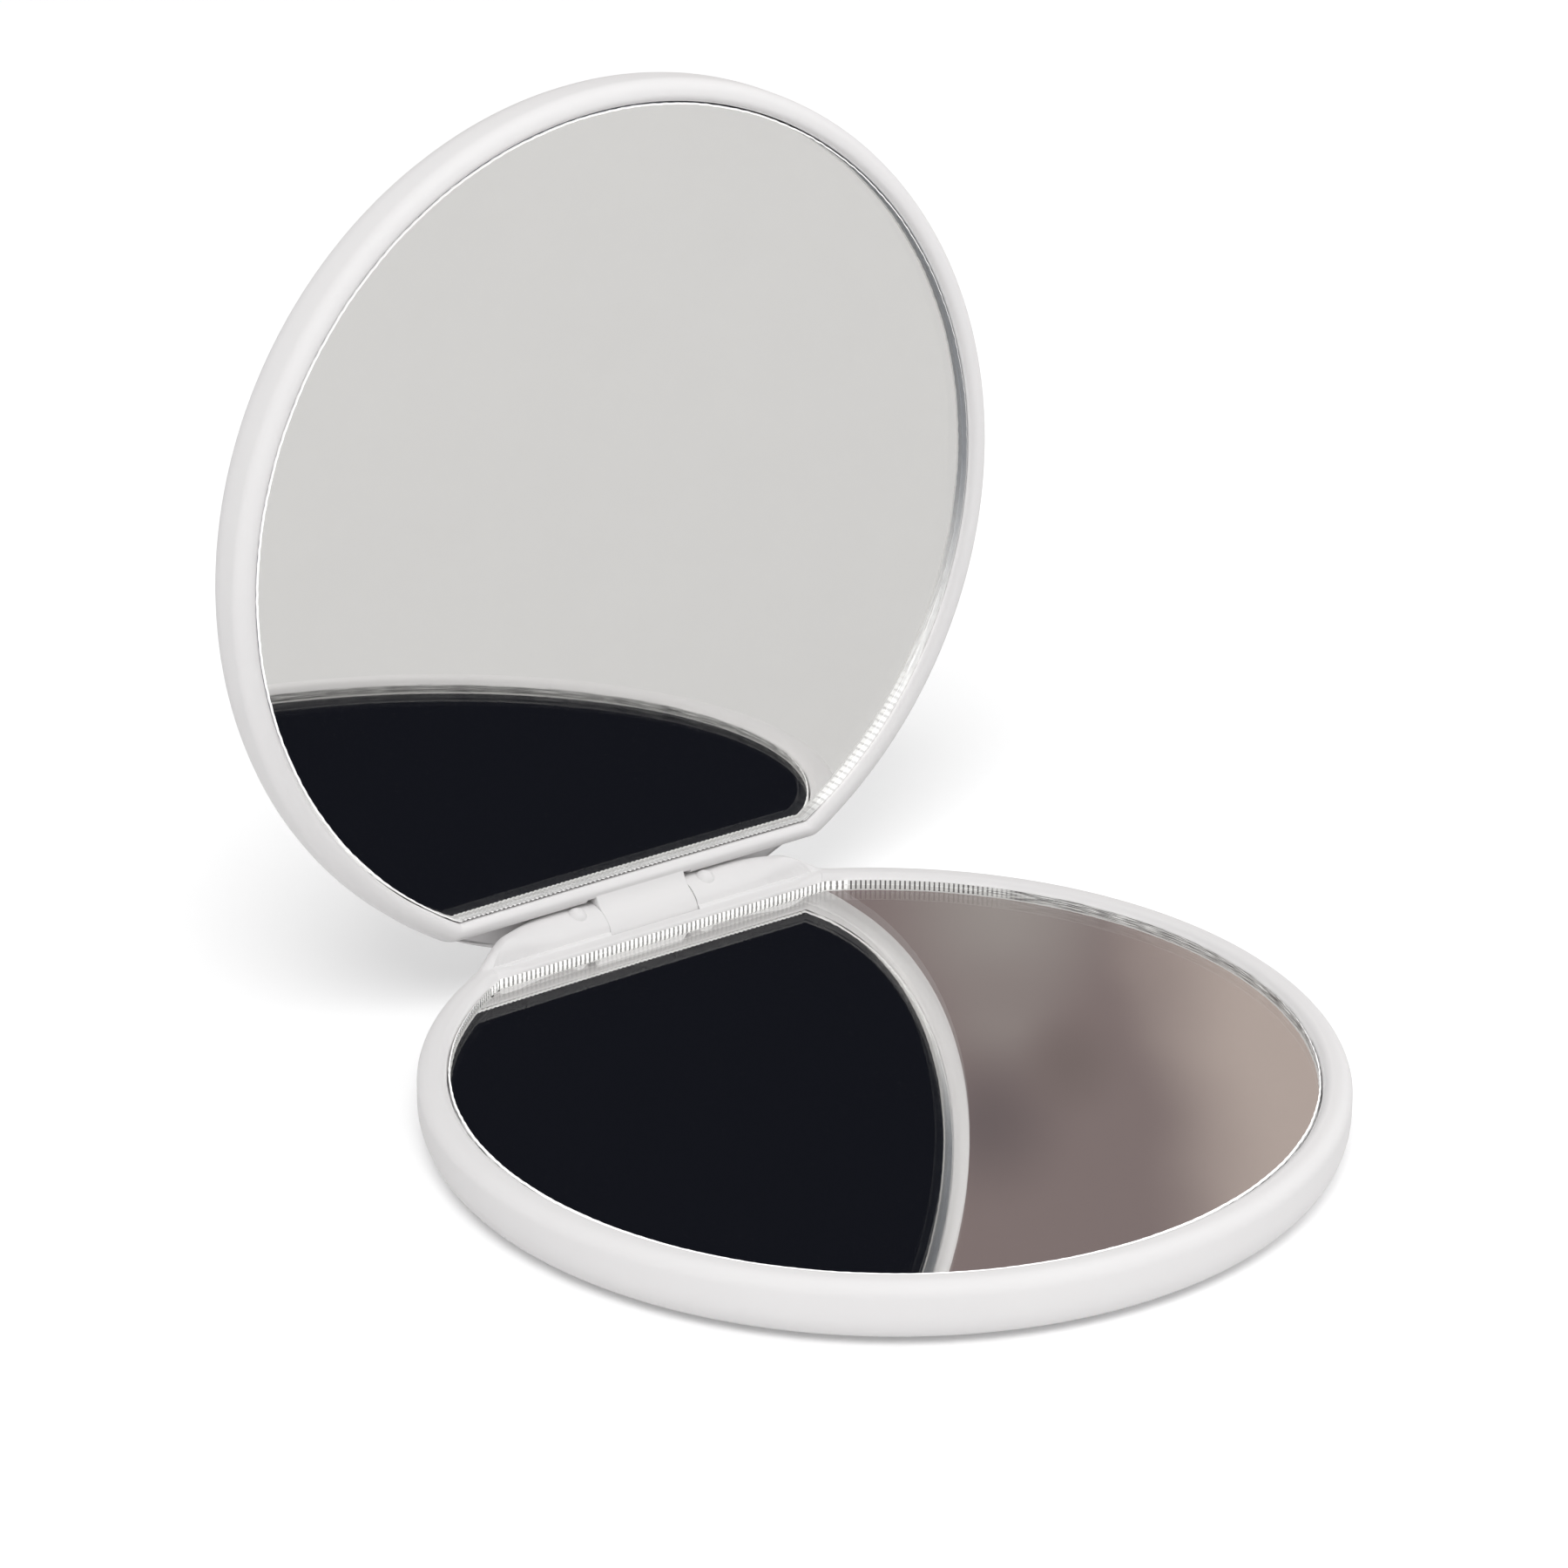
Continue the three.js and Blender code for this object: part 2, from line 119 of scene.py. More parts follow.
def wrapped(name, rings):
    deselect_all()
    columns, rows = len(rings[0]), len(rings) - 1
    width = 2 * CASE_RADIUS * MM
    bpy.ops.mesh.primitive_grid_add(x_subdivisions=columns, y_subdivisions=rows, size=width)
    piece = bpy.context.object
    piece.name = piece.data.name = name
    coordinates = []
    for ring in rings:
        for x, y, z in list(ring) + [ring[0]]:
            coordinates += [x * MM, y * MM, z * MM]
    piece.data.vertices.foreach_set("co", coordinates)
    close_and_face_out(piece)
    return piece


def finish_piece(piece, body, material, smooth_angle=SHELL_SMOOTH_ANGLE):
    piece.data.materials.clear()
    piece.data.materials.append(material)
    make_active(piece)
    bpy.ops.object.shade_smooth_by_angle(angle=smooth_angle)
    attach(piece, body)
    print(piece.name, len(piece.data.polygons), "faces")


# %% [markdown]
# Plan outlines. A pocket is a circle cut off by a straight chord at the hinge: a D. The points run
# in fixed numbers along the chord, round the two corners and round the circle, so that an outer and
# an inner outline always match point for point.

# %% Plan outlines
CHORD_POINTS = 96
CORNER_POINTS = 10
CIRCLE_POINTS = 264


def d_outline(radius, chord, corner, chord_points=CHORD_POINTS, circle_points=CIRCLE_POINTS):
    inner_y = chord - corner
    inner_x = sqrt((radius - corner) ** 2 - inner_y ** 2)
    meet = atan2(inner_y, inner_x)
    points = []
    for i in range(chord_points):
        points.append((inner_x - 2 * inner_x * i / chord_points, chord))
    for i in range(CORNER_POINTS):
        turn = pi / 2 + (pi / 2 - meet) * i / CORNER_POINTS
        points.append((-inner_x + corner * cos(turn), inner_y + corner * sin(turn)))
    for i in range(circle_points):
        turn = pi - meet + (pi + 2 * meet) * i / circle_points
        points.append((radius * cos(turn), radius * sin(turn)))
    for i in range(CORNER_POINTS):
        turn = meet + (pi / 2 - meet) * i / CORNER_POINTS
        points.append((inner_x + corner * cos(turn), inner_y + corner * sin(turn)))
    return points


def scaled_out(outline, radius):
    return [(x * radius / hypot(x, y), y * radius / hypot(x, y)) for x, y in outline]


def at_height(outline, height):
    return [(x, y, height) for x, y in outline]


# %% [markdown]
# The outside of both shells is the same: a flat middle, a soft crown and a rounded edge up to the
# wall. It is drawn here as (radius, height) pairs.

# %% Outside of a shell
ROUND_STEPS = 8


def outside_profile():
    crown_edge = CASE_RADIUS - EDGE_ROUND_WIDTH
    crown_width = crown_edge - FLAT_RADIUS
    crown_radius = (crown_width ** 2 + CROWN_RISE ** 2) / (2 * CROWN_RISE)
    profile = [(0, 0), (FLAT_RADIUS / 2, 0)]
    for i in range(ROUND_STEPS):
        turn = asin(crown_width / crown_radius) * i / ROUND_STEPS
        profile.append((FLAT_RADIUS + crown_radius * sin(turn), crown_radius * (1 - cos(turn))))
    for i in range(ROUND_STEPS + 1):
        turn = pi / 2 * i / ROUND_STEPS
        width = EDGE_ROUND_WIDTH * sin(turn)
        height = EDGE_ROUND_HEIGHT * (1 - cos(turn))
        profile.append((crown_edge + width, CROWN_RISE + height))
    return profile


def outside_rings(outline):
    rings = []
    for radius, height in outside_profile():
        rings.append(at_height(scaled_out(outline, radius), height))
    return rings


# %% [markdown]
# The base. Its rim is a round nose all the way round; along the back it swells up into the hinge
# saddle, which runs forward over the hinge line, falls in a smooth round front to a narrow valley
# and ends in the thin wall of the mirror pocket. Each column of the sheet is given this section for
# its own place along the hinge, so the rim flows into the saddle without a crease.

# %% Base shell
SADDLE_RISE = 1.5
SADDLE_HALF_FLAT = 12.9
SADDLE_HALF_LENGTH = 16.9
SWELL_START = 29.75
SWELL_END = 30.5
BARREL_TOP = 32.6
BARREL_FOOT = 29.85
BARREL_SINK = 0.5
FOOT_SHIFT = 0.2
SLOPE_SHORT = 30
SLOPE_LONG = 31.5
SLOPE_LEAST = 0.05
SWING_RADIUS = 1.78
VALLEY_ROUND = 0.3
BLEND_LEAST = 0.005
CREST_STEPS = 4
SLOPE_STEPS = 18
LAND_STEPS = 4
VALLEY_DROP = 0.2
VALLEY_ENDS = (12.5, 15.7)
SPREAD_START = 9
WALL_ROUND = 0.2
BASE_OUTER_ROUND = 1.1
BASE_INNER_ROUND = 0.75
POCKET_CORNER = 0.25
CREST_INSET = 0.2
CREST_RADIUS = CASE_RADIUS - BASE_OUTER_ROUND - CREST_INSET


def eased(value, low, high):
    """From 0 at low to 1 at high, with a soft start and end."""
    share = min(1, max(0, (value - low) / (high - low)))
    return share * share * (3 - 2 * share)


def saddle_lift(x, y):
    """How far the saddle stands above the plain rim."""
    from_ends = 1 - eased(abs(x), SADDLE_HALF_FLAT, SADDLE_HALF_LENGTH)
    return SADDLE_RISE * from_ends * eased(y, SWELL_START, SWELL_END)


def under_swing(y, height):
    """The height, kept below the circle that the lid's bar sweeps about the pin."""
    reach = SWING_RADIUS ** 2 - min(0, y - HINGE_Y) ** 2
    return min(height, RIM_TOP + sqrt(max(0, reach)))


def rounded_max(first, second, blend):
    """The higher of two heights, with a small hollow where they meet."""
    near = max(0, 1 - abs(first - second) / blend)
    return max(first, second) + blend * near * near / 4


def barrel_slope(top, slope_top, slope_foot, valley=0):
    """Points (y, z) over a quarter of an oval, down to the valley, if there is one in front of it."""
    low = RIM_TOP - VALLEY_DROP - BARREL_SINK
    blend = VALLEY_ROUND * (top - RIM_TOP) / SADDLE_RISE + BLEND_LEAST
    points = []
    for i in range(SLOPE_STEPS + 1):
        turn = pi / 2 * i / SLOPE_STEPS
        height = low + (top - low) * cos(turn)
        y = slope_top + (slope_foot - slope_top) * sin(turn)
        points.append((y, rounded_max(height, valley, blend)))
    return points


def hinge_section(x, crest_y, wall_y):
    """Points (y, z) from the crest of the rim forward down the saddle's slope to the pocket wall.
    At the ends of the saddle the valley comes up to the rim and the wall's edge gets rounder."""
    ends = eased(abs(x), *VALLEY_ENDS)
    top = RIM_TOP + saddle_lift(x, crest_y)
    valley = RIM_TOP - VALLEY_DROP * (1 - ends)
    wall_round = WALL_ROUND + (BASE_INNER_ROUND - WALL_ROUND) * ends
    slope_top = min(BARREL_TOP, crest_y - SLOPE_LEAST)
    slope_foot = BARREL_FOOT - FOOT_SHIFT * (1 - eased(crest_y, SLOPE_SHORT, SLOPE_LONG))
    slope_foot = min(slope_foot, slope_top - SLOPE_LEAST)
    points = []
    for i in range(CREST_STEPS):
        points.append((crest_y + (slope_top - crest_y) * i / CREST_STEPS, top))
    points += barrel_slope(top, slope_top, slope_foot, valley)[:-1]
    points = [(y, under_swing(y, z)) for y, z in points]
    for i in range(LAND_STEPS):
        points.append((slope_foot + (wall_y + wall_round - slope_foot) * i / LAND_STEPS, valley))
    for i in range(ROUND_STEPS + 1):
        turn = pi / 2 * i / ROUND_STEPS
        points.append((wall_y + wall_round * (1 - sin(turn)), valley - wall_round * (1 - cos(turn))))
    return points


def rim_section(radius):
    """Points (radius, z) from the crest of the plain rim inward to the pocket wall."""
    points = []
    count = CREST_STEPS + SLOPE_STEPS + LAND_STEPS + ROUND_STEPS
    inner_top = radius + BASE_INNER_ROUND
    for i in range(count + 1):
        if i <= CREST_STEPS:
            reach = CREST_RADIUS + (inner_top - CREST_RADIUS) * i / CREST_STEPS
            points.append((reach, RIM_TOP))
        else:
            turn = pi / 2 * (i - CREST_STEPS) / (count - CREST_STEPS)
            drop = BASE_INNER_ROUND * (1 - cos(turn))
            points.append((inner_top - BASE_INNER_ROUND * sin(turn), RIM_TOP - drop))
    return points


def base_rings():
    inner = d_outline(BASE_POCKET_RADIUS, POCKET_CHORD, POCKET_CORNER)
    chord_end = max(x for x, y in inner[:CHORD_POINTS])
    stretch = CASE_RADIUS / hypot(chord_end, POCKET_CHORD) - 1
    outer = []
    for i, (x, y) in enumerate(inner):
        if i < CHORD_POINTS:
            x *= 1 + stretch * eased(abs(x), SPREAD_START, chord_end)
            outer.append((x, sqrt(CASE_RADIUS ** 2 - x ** 2)))
        else:
            outer += scaled_out([(x, y)], CASE_RADIUS)
    rings = outside_rings(outer)
    for i in range(ROUND_STEPS + 1):
        turn = pi / 2 * i / ROUND_STEPS
        radius = CASE_RADIUS - BASE_OUTER_ROUND * (1 - cos(turn))
        height = RIM_TOP - BASE_OUTER_ROUND * (1 - sin(turn))
        nose = scaled_out(outer, radius)
        rings.append([(x, y, under_swing(y, height + saddle_lift(x, y))) for x, y in nose])
    columns = []
    for i, (ix, iy) in enumerate(inner):
        if i < CHORD_POINTS:
            crest_x, crest_y = scaled_out([outer[i]], CREST_RADIUS)[0]
            lean = (crest_x - ix) / (crest_y - iy)
            section = hinge_section(crest_x, crest_y, iy)
            columns.append([(ix + lean * (y - iy), y, z) for y, z in section])
        else:
            turn = atan2(iy, ix)
            radius = hypot(ix, iy)
            column = []
            for reach, z in rim_section(radius):
                x, y = reach * cos(turn), reach * sin(turn)
                share = min(1, max(0, (reach - radius) / BASE_INNER_ROUND))
                column.append((x, y, z + share * saddle_lift(x, y)))
            columns.append(column)
    for k in range(len(columns[0])):
        rings.append([column[k] for column in columns])
    rings.append(at_height(inner, SEAT))
    rings.append(at_height([(0, 0)] * len(inner), SEAT))
    return rings


base_case = wrapped("base_case", base_rings())
print("base case box", [round(v / MM, 2) for v in base_case.dimensions])

# %% [markdown]
# The base's outer knuckles are the two halves of the saddle: the lid's knuckle turns in a slot cut
# between them, open at the back. Two small round ridges beside the slot give the lid's edge
# something to click over. The slot is a box and each ridge is a ball, a little narrower along the
# hinge, put in with the Boolean modifier.

# %% Slot, ridges and pin bore in the base
SLOT_HALF = 4.2
SLOT_FRONT = 29.82
SLOT_FLOOR = 2.65
RIDGE_CENTRE = 6.1
RIDGE_HALF = 0.85
RIDGE_RADIUS = 0.9
RIDGE_HEIGHT = 6.22
RIDGE_SEGMENTS = 48
BORE_RADIUS = 0.68
BORE_START = -11
BORE_POINTS = 48
CUT_MARGIN = 2
SLOT_TOP = RIM_TOP + 4


def block(name, low, high):
    deselect_all()
    size = [(b - a) * MM for a, b in zip(low, high)]
    middle = [(a + b) / 2 * MM for a, b in zip(low, high)]
    bpy.ops.mesh.primitive_cube_add(size=1, location=middle)
    piece = bpy.context.object
    piece.name = name
    piece.scale = size
    bpy.ops.object.transform_apply(location=True, rotation=True, scale=True)
    return piece


def along_hinge(name, stations):
    """A closed form from sections (x, [(y, z), ...]) along the hinge, closed at both ends."""
    rings = [[(x, y, z) for y, z in section] for x, section in stations]
    ends = [[(x, HINGE_Y, RIM_TOP)] * len(section) for x, section in (stations[0], stations[-1])]
    return wrapped(name, [ends[0], *rings, ends[1]])


def bore_section():
    """Points (y, z) of the circle round the pin."""
    turns = [2 * pi * i / BORE_POINTS for i in range(BORE_POINTS)]
    return [(HINGE_Y + BORE_RADIUS * cos(t), RIM_TOP + BORE_RADIUS * sin(t)) for t in turns]


def bore(start, end):
    return along_hinge("bore", [(start, bore_section()), (end, bore_section())])


def joined(piece, other, operation):
    apply_modifier(piece, "BOOLEAN", operation=operation, object=other, solver="EXACT")
    bpy.data.objects.remove(other, do_unlink=True)


def ridge(name, centre):
    deselect_all()
    bpy.ops.mesh.primitive_uv_sphere_add(
        segments=RIDGE_SEGMENTS,
        ring_count=RIDGE_SEGMENTS // 2,
        radius=RIDGE_RADIUS * MM,
        location=(centre * MM, HINGE_Y * MM, RIDGE_HEIGHT * MM),
    )
    piece = bpy.context.object
    piece.name = name
    piece.scale = (RIDGE_HALF / RIDGE_RADIUS, 1, 1)
    bpy.ops.object.transform_apply(location=True, rotation=True, scale=True)
    return piece


joined(base_case, ridge("ridge_left", -RIDGE_CENTRE), "UNION")
joined(base_case, ridge("ridge_right", RIDGE_CENTRE), "UNION")
slot_low = (-SLOT_HALF, SLOT_FRONT, SLOT_FLOOR)
slot_high = (SLOT_HALF, CASE_RADIUS + CUT_MARGIN, SLOT_TOP)
joined(base_case, block("slot", slot_low, slot_high), "DIFFERENCE")
joined(base_case, bore(BORE_START, CASE_RADIUS), "DIFFERENCE")
print("base case with slot:", len(base_case.data.polygons), "faces")

# %% [markdown]
# The lid. Its outside is the same round dish, but its rim leaves the circle at the hinge and crosses
# along a straight bar in front of the pin. The thin lip behind the bar completes the disc; it is
# hollowed on the inside so that it passes the back wall of the base when the lid stands open.

# %% Lid shell
LID_CHORD = 30.22
LID_CORNER = 2.2
LID_POCKET_CORNER = 0.4
LIP_TOP = 2.8
LIP_ROUND = 0.4
LIP_HOLLOW = 35.4
LIP_LEAST = 0.15
LIP_FADE = 0.8
LIP_STEPS = 5
LIP_SHARES = (0.15, 0.35, 0.6, 0.85, 1)
NOSE_OUTER = 0.6
NOSE_INNER = 0.35
BAR_WIDTH = LID_CHORD - POCKET_CHORD
BAR_NOSE_HEIGHT = 0.9
RIM_WIDTH = 1.8
RIM_OUTER_HEIGHT = 1.08
RIM_INNER_HEIGHT = 0.63


def lip_height(x, y):
    """The top of the lip. Only the hinge's side is hollowed."""
    if y < 0:
        return LIP_TOP
    return min(LIP_TOP, RIM_TOP + HINGE_Y - sqrt(LIP_HOLLOW ** 2 - x ** 2))


def nose_height(width, rim_height):
    """The nose is taller along the bar than round the rim; it changes with the rim's width."""
    share = min(1, max(0, (width - BAR_WIDTH) / (RIM_WIDTH - BAR_WIDTH)))
    return BAR_NOSE_HEIGHT + (rim_height - BAR_NOSE_HEIGHT) * share


def lid_rings():
    outer = d_outline(CASE_RADIUS, LID_CHORD, LID_CORNER)
    inner = d_outline(LID_POCKET_RADIUS, POCKET_CHORD, LID_POCKET_CORNER)
    full = []
    for i, (x, y) in enumerate(outer):
        if i < CHORD_POINTS:
            on_disc = (x, sqrt(CASE_RADIUS ** 2 - x ** 2))
        else:
            on_disc = scaled_out([(x, y)], CASE_RADIUS)[0]
        full.append(on_disc if hypot(on_disc[0] - x, on_disc[1] - y) > LIP_LEAST else (x, y))
    lip = [min(1, hypot(a - c, b - d) / LIP_FADE) for (a, b), (c, d) in zip(full, outer)]
    rings = []
    for ring in outside_rings(full):
        lowered = []
        for (x, y, z), w in zip(ring, lip):
            lowered.append((x, y, min(z, lip_height(x, y) - LIP_ROUND * w)))
        rings.append(lowered)
    for i in range(1, LIP_STEPS + 1):
        turn = pi / 2 * i / LIP_STEPS
        ring = []
        for (x, y), w in zip(full, lip):
            reach = 1 - LIP_ROUND * w * (1 - cos(turn)) / CASE_RADIUS
            ring.append((x * reach, y * reach, lip_height(x, y) - LIP_ROUND * w * (1 - sin(turn))))
        rings.append(ring)
    for share in LIP_SHARES:
        ring = []
        for (x, y), (c, d) in zip(full, outer):
            ring.append((x + (c - x) * share, y + (d - y) * share, lip_height(x, y)))
        rings.append(ring)
    for i in range(ROUND_STEPS + 1):
        turn = pi / 2 * i / ROUND_STEPS
        ring = []
        for (a, b), (c, d) in zip(outer, inner):
            drop = nose_height(hypot(a - c, b - d), RIM_OUTER_HEIGHT) * (1 - sin(turn))
            share = NOSE_OUTER * (1 - cos(turn))
            ring.append((a + (c - a) * share, b + (d - b) * share, RIM_TOP - drop))
        rings.append(ring)
    for i in range(ROUND_STEPS + 1):
        turn = pi / 2 * i / ROUND_STEPS
        ring = []
        for (a, b), (c, d) in zip(outer, inner):
            drop = nose_height(hypot(a - c, b - d), RIM_INNER_HEIGHT) * (1 - cos(turn))
            share = 1 - NOSE_INNER * (1 - sin(turn))
            ring.append((a + (c - a) * share, b + (d - b) * share, RIM_TOP - drop))
        rings.append(ring)
    rings.append(at_height(inner, SEAT))
    rings.append(at_height([(0, 0)] * len(inner), SEAT))
    return rings


lid_case = wrapped("lid_case", lid_rings())
print("lid case box", [round(v / MM, 2) for v in lid_case.dimensions])

# %% [markdown]
# The lid's pieces are made rim up. Turning them over about Y lays them rim down; moving them to the
# hinge line and swinging them back about X opens the compact.

# %% The open place of the lid
turn_over = Matrix.Translation((0, -HINGE_Y * MM, RIM_TOP * MM)) @ Matrix.Rotation(pi, 4, "Y")
to_hinge = Matrix.Translation((0, HINGE_Y * MM, RIM_TOP * MM))
swing_open = to_hinge @ Matrix.Rotation(-OPEN_ANGLE, 4, "X")
LID_PLACE = swing_open @ turn_over
print("lid swings open by", round(degrees(OPEN_ANGLE), 1), "degrees")

# %% [markdown]
# The lid's own knuckle is a short barrel about the pin, between the base's two. With the lid open it
# lies flush with them, so its section is drawn in that place: the same round slope as the saddle,
# run up to the bar in a hollow curve, so that bar and barrel look like one moulding. It is then
# turned back to where the lid is made. A notch at each side frees the barrel's ends from the bar.

# %% Lid knuckle and notches
FAIRING_START = Vector((32.15, 7.95))
FAIRING_END = 31.2
FAIRING_BEND = FAIRING_START.x - 0.3
TOE_TURN = 0.35
FRONT_GAP = 0.04
NOTCH_WIDTH = 0.8
NOTCH_FRONT = 29.75
KNUCKLE_EDGE = 0.1
EDGE_STEPS = 3
WEB_BACK = 33.2
ARC_STEPS = 16


def knuckle_section(shrink=0):
    """From the bar down the hollow and the round slope, then back under the pin and up again."""
    centre = Vector((HINGE_Y, RIM_TOP))
    slope = barrel_slope(RIM_TOP + SADDLE_RISE, BARREL_TOP, BARREL_FOOT + FRONT_GAP)
    slope = [Vector(point) for point in slope if point[0] < FAIRING_END]
    first, second = slope[0], slope[1]
    rise = (first.y - second.y) / (first.x - second.x)
    bend = Vector((FAIRING_BEND, first.y + rise * (FAIRING_BEND - first.x)))
    points = []
    for i in range(ARC_STEPS):
        share = i / ARC_STEPS
        points.append(FAIRING_START.lerp(bend, share).lerp(bend.lerp(first, share), share))
    points += slope
    for i in range(ARC_STEPS + 1):
        turn = pi + TOE_TURN + (pi - TOE_TURN) * i / ARC_STEPS
        points.append(centre + KNUCKLE_RADIUS * Vector((cos(turn), sin(turn))))
    points.append(Vector((WEB_BACK, FAIRING_START.y)))
    return [tuple(point + (centre - point).normalized() * shrink) for point in points]


def knuckle():
    inner = KNUCKLE_HALF - KNUCKLE_EDGE
    stations = []
    for side in (-1, 1):
        for i in range(EDGE_STEPS + 1):
            turn = pi / 2 * (i if side < 0 else EDGE_STEPS - i) / EDGE_STEPS
            shrink = KNUCKLE_EDGE * (1 - sin(turn))
            stations.append((side * (inner + KNUCKLE_EDGE * cos(turn)), knuckle_section(shrink)))
    piece = along_hinge("knuckle", stations)
    piece.data.transform(LID_PLACE.inverted())
    return piece


notch_half = KNUCKLE_HALF + NOTCH_WIDTH
notch_low = (-notch_half, NOTCH_FRONT, RIM_TOP - KNUCKLE_RADIUS)
notch_high = (notch_half, CASE_RADIUS + CUT_MARGIN, RIM_TOP + CUT_MARGIN)
joined(lid_case, block("notch", notch_low, notch_high), "DIFFERENCE")
joined(lid_case, knuckle(), "UNION")
joined(lid_case, bore(-CASE_RADIUS, CASE_RADIUS), "DIFFERENCE")
print("lid case with knuckle:", len(lid_case.data.polygons), "faces")

# %% [markdown]
# The mirrors are plates of clear acrylic, silvered on the back, sawn out of a sheet. The saw leaves
# fine flutes across the straight edge, and they show in the light. So the plate is a real slab with a
# fluted edge: its front is clear, its back is the mirror.

# %% Mirror plates
FLUTE_PITCH = 0.42
FLUTE_DEPTH = 0.1
FLUTE_COLUMNS = 6
PLATE_CORNER = 0.8
FRONT_CHAMFER = 0.12
BACK_CHAMFER = 0.05
DISH_RADIUS = 1000
DISH_RINGS = 10
EDGE_RINGS = 4
PLATE_CIRCLE_POINTS = 600
SAW_DEPTH = 0.02
SAW_BEATS = (97, 61, 211)
SAW_FINE_SHARE = 0.6


def fluted(outline, count):
    """The chord's points moved in and out: one flute for each pitch."""
    moved = []
    for i, (x, y) in enumerate(outline):
        wave = abs(sin(pi * x / FLUTE_PITCH)) if i < count else 0
        moved.append((x, y - FLUTE_DEPTH * wave))
    return moved


def sawn(outline, count):
    """The round edge, a little uneven: three waves that don't fall in step."""
    moved = []
    for i, (x, y) in enumerate(outline):
        turn = atan2(y, x)
        first, second, third = (sin(beat * turn + step) for step, beat in enumerate(SAW_BEATS))
        wave = first * second + SAW_FINE_SHARE * third
        share = 1 - (SAW_DEPTH * wave / hypot(x, y) if i >= count else 0)
        moved.append((x * share, y * share))
    return moved


def plate_rings(pocket_radius, dish_radius, recess):
    radius = pocket_radius - PLATE_GAP
    chord = POCKET_CHORD - PLATE_GAP
    half = sqrt((radius - PLATE_CORNER) ** 2 - (chord - PLATE_CORNER) ** 2)
    count = int(2 * half / FLUTE_PITCH) * FLUTE_COLUMNS
    plain = d_outline(radius, chord, PLATE_CORNER, count, PLATE_CIRCLE_POINTS)
    edge = sawn(fluted(plain, count), count)
    front = RIM_TOP - recess
    back = front - PLATE_THICKNESS

    def dish(x, y):
        return (pocket_radius ** 2 - x ** 2 - y ** 2) / (2 * dish_radius) if dish_radius else 0

    def level(share, height):
        return [(x * share, y * share, height - dish(x * share, y * share)) for x, y in edge]

    back_inset = 1 - BACK_CHAMFER / radius
    front_inset = 1 - FRONT_CHAMFER / radius
    edge_low, edge_high = back + BACK_CHAMFER, front - FRONT_CHAMFER
    edge_step = (edge_high - edge_low) / EDGE_RINGS
    rings = [level(i / DISH_RINGS * back_inset, back) for i in range(DISH_RINGS + 1)]
    rings += [level(1, edge_low + edge_step * i) for i in range(EDGE_RINGS + 1)]
    rings += [level(i / DISH_RINGS * front_inset, front) for i in range(DISH_RINGS, -1, -1)]
    return rings


base_plate = wrapped("base_mirror_plate", plate_rings(BASE_POCKET_RADIUS, 0, BASE_RECESS))
lid_plate = wrapped("lid_mirror_plate", plate_rings(LID_POCKET_RADIUS, DISH_RADIUS, LID_RECESS))
print("plates:", len(base_plate.data.polygons), len(lid_plate.data.polygons), "faces")

# %% [markdown]
# The lid's finished pieces go to their open place. The turn is put into the mesh, so the objects stay
# at the origin.

# %% Open the lid
for piece in (lid_case, lid_plate):
    piece.data.transform(LID_PLACE)
    piece.data.update()
print("lid reaches", round(max(v.co.z for v in lid_case.data.vertices) / MM, 2), "mm up")

# %% [markdown]
# White moulded plastic. The tool that moulds such a case is spark-eroded, which leaves a very fine
# matte grain: a small noise in the bump and in the gloss. The colour is a faintly warm white that
# varies a little over the part.

# %% White plastic
PLASTIC_WHITE = (0.80, 0.788, 0.785, 1)
PLASTIC_SHADE = (0.77, 0.757, 0.76, 1)
GRAIN_SIZE = 0.12 * MM
GRAIN_ROUGHNESS = (0.42, 0.58)
GRAIN_BUMP = 0.25
GRAIN_HEIGHT = 0.01 * MM
CLOUD_SIZE = 14 * MM
PLASTIC_IOR = 1.5


def new_material(name):
    material = bpy.data.materials.new(name)
    material.use_nodes = True
    shader = material.node_tree.nodes["Principled BSDF"]
    return material, material.node_tree, shader


def noise(tree, size, detail=2):
    place = tree.nodes.new("ShaderNodeTexCoord")
    texture = tree.nodes.new("ShaderNodeTexNoise")
    texture.inputs["Scale"].default_value = 1 / size
    texture.inputs["Detail"].default_value = detail
    tree.links.new(place.outputs["Object"], texture.inputs["Vector"])
    return texture.outputs["Fac"]


def mapped(tree, value, low, high):
    node = tree.nodes.new("ShaderNodeMapRange")
    node.inputs["To Min"].default_value = low
    node.inputs["To Max"].default_value = high
    tree.links.new(value, node.inputs["Value"])
    return node.outputs["Result"]


def mixed(tree, value, first, second):
    """A Mix node has sockets for each kind of value: inputs 6 and 7 and output 2 are its colours."""
    node = tree.nodes.new("ShaderNodeMix")
    node.data_type = "RGBA"
    for socket, colour in ((node.inputs[6], first), (node.inputs[7], second)):
        if hasattr(colour, "links"):
            tree.links.new(colour, socket)
        else:
            socket.default_value = colour
    tree.links.new(value, node.inputs[0])
    return node.outputs[2]


def add_bump(tree, shader, height, strength, distance):
    bump = tree.nodes.new("ShaderNodeBump")
    bump.inputs["Strength"].default_value = strength
    bump.inputs["Distance"].default_value = distance
    tree.links.new(height, bump.inputs["Height"])
    tree.links.new(bump.outputs["Normal"], shader.inputs["Normal"])


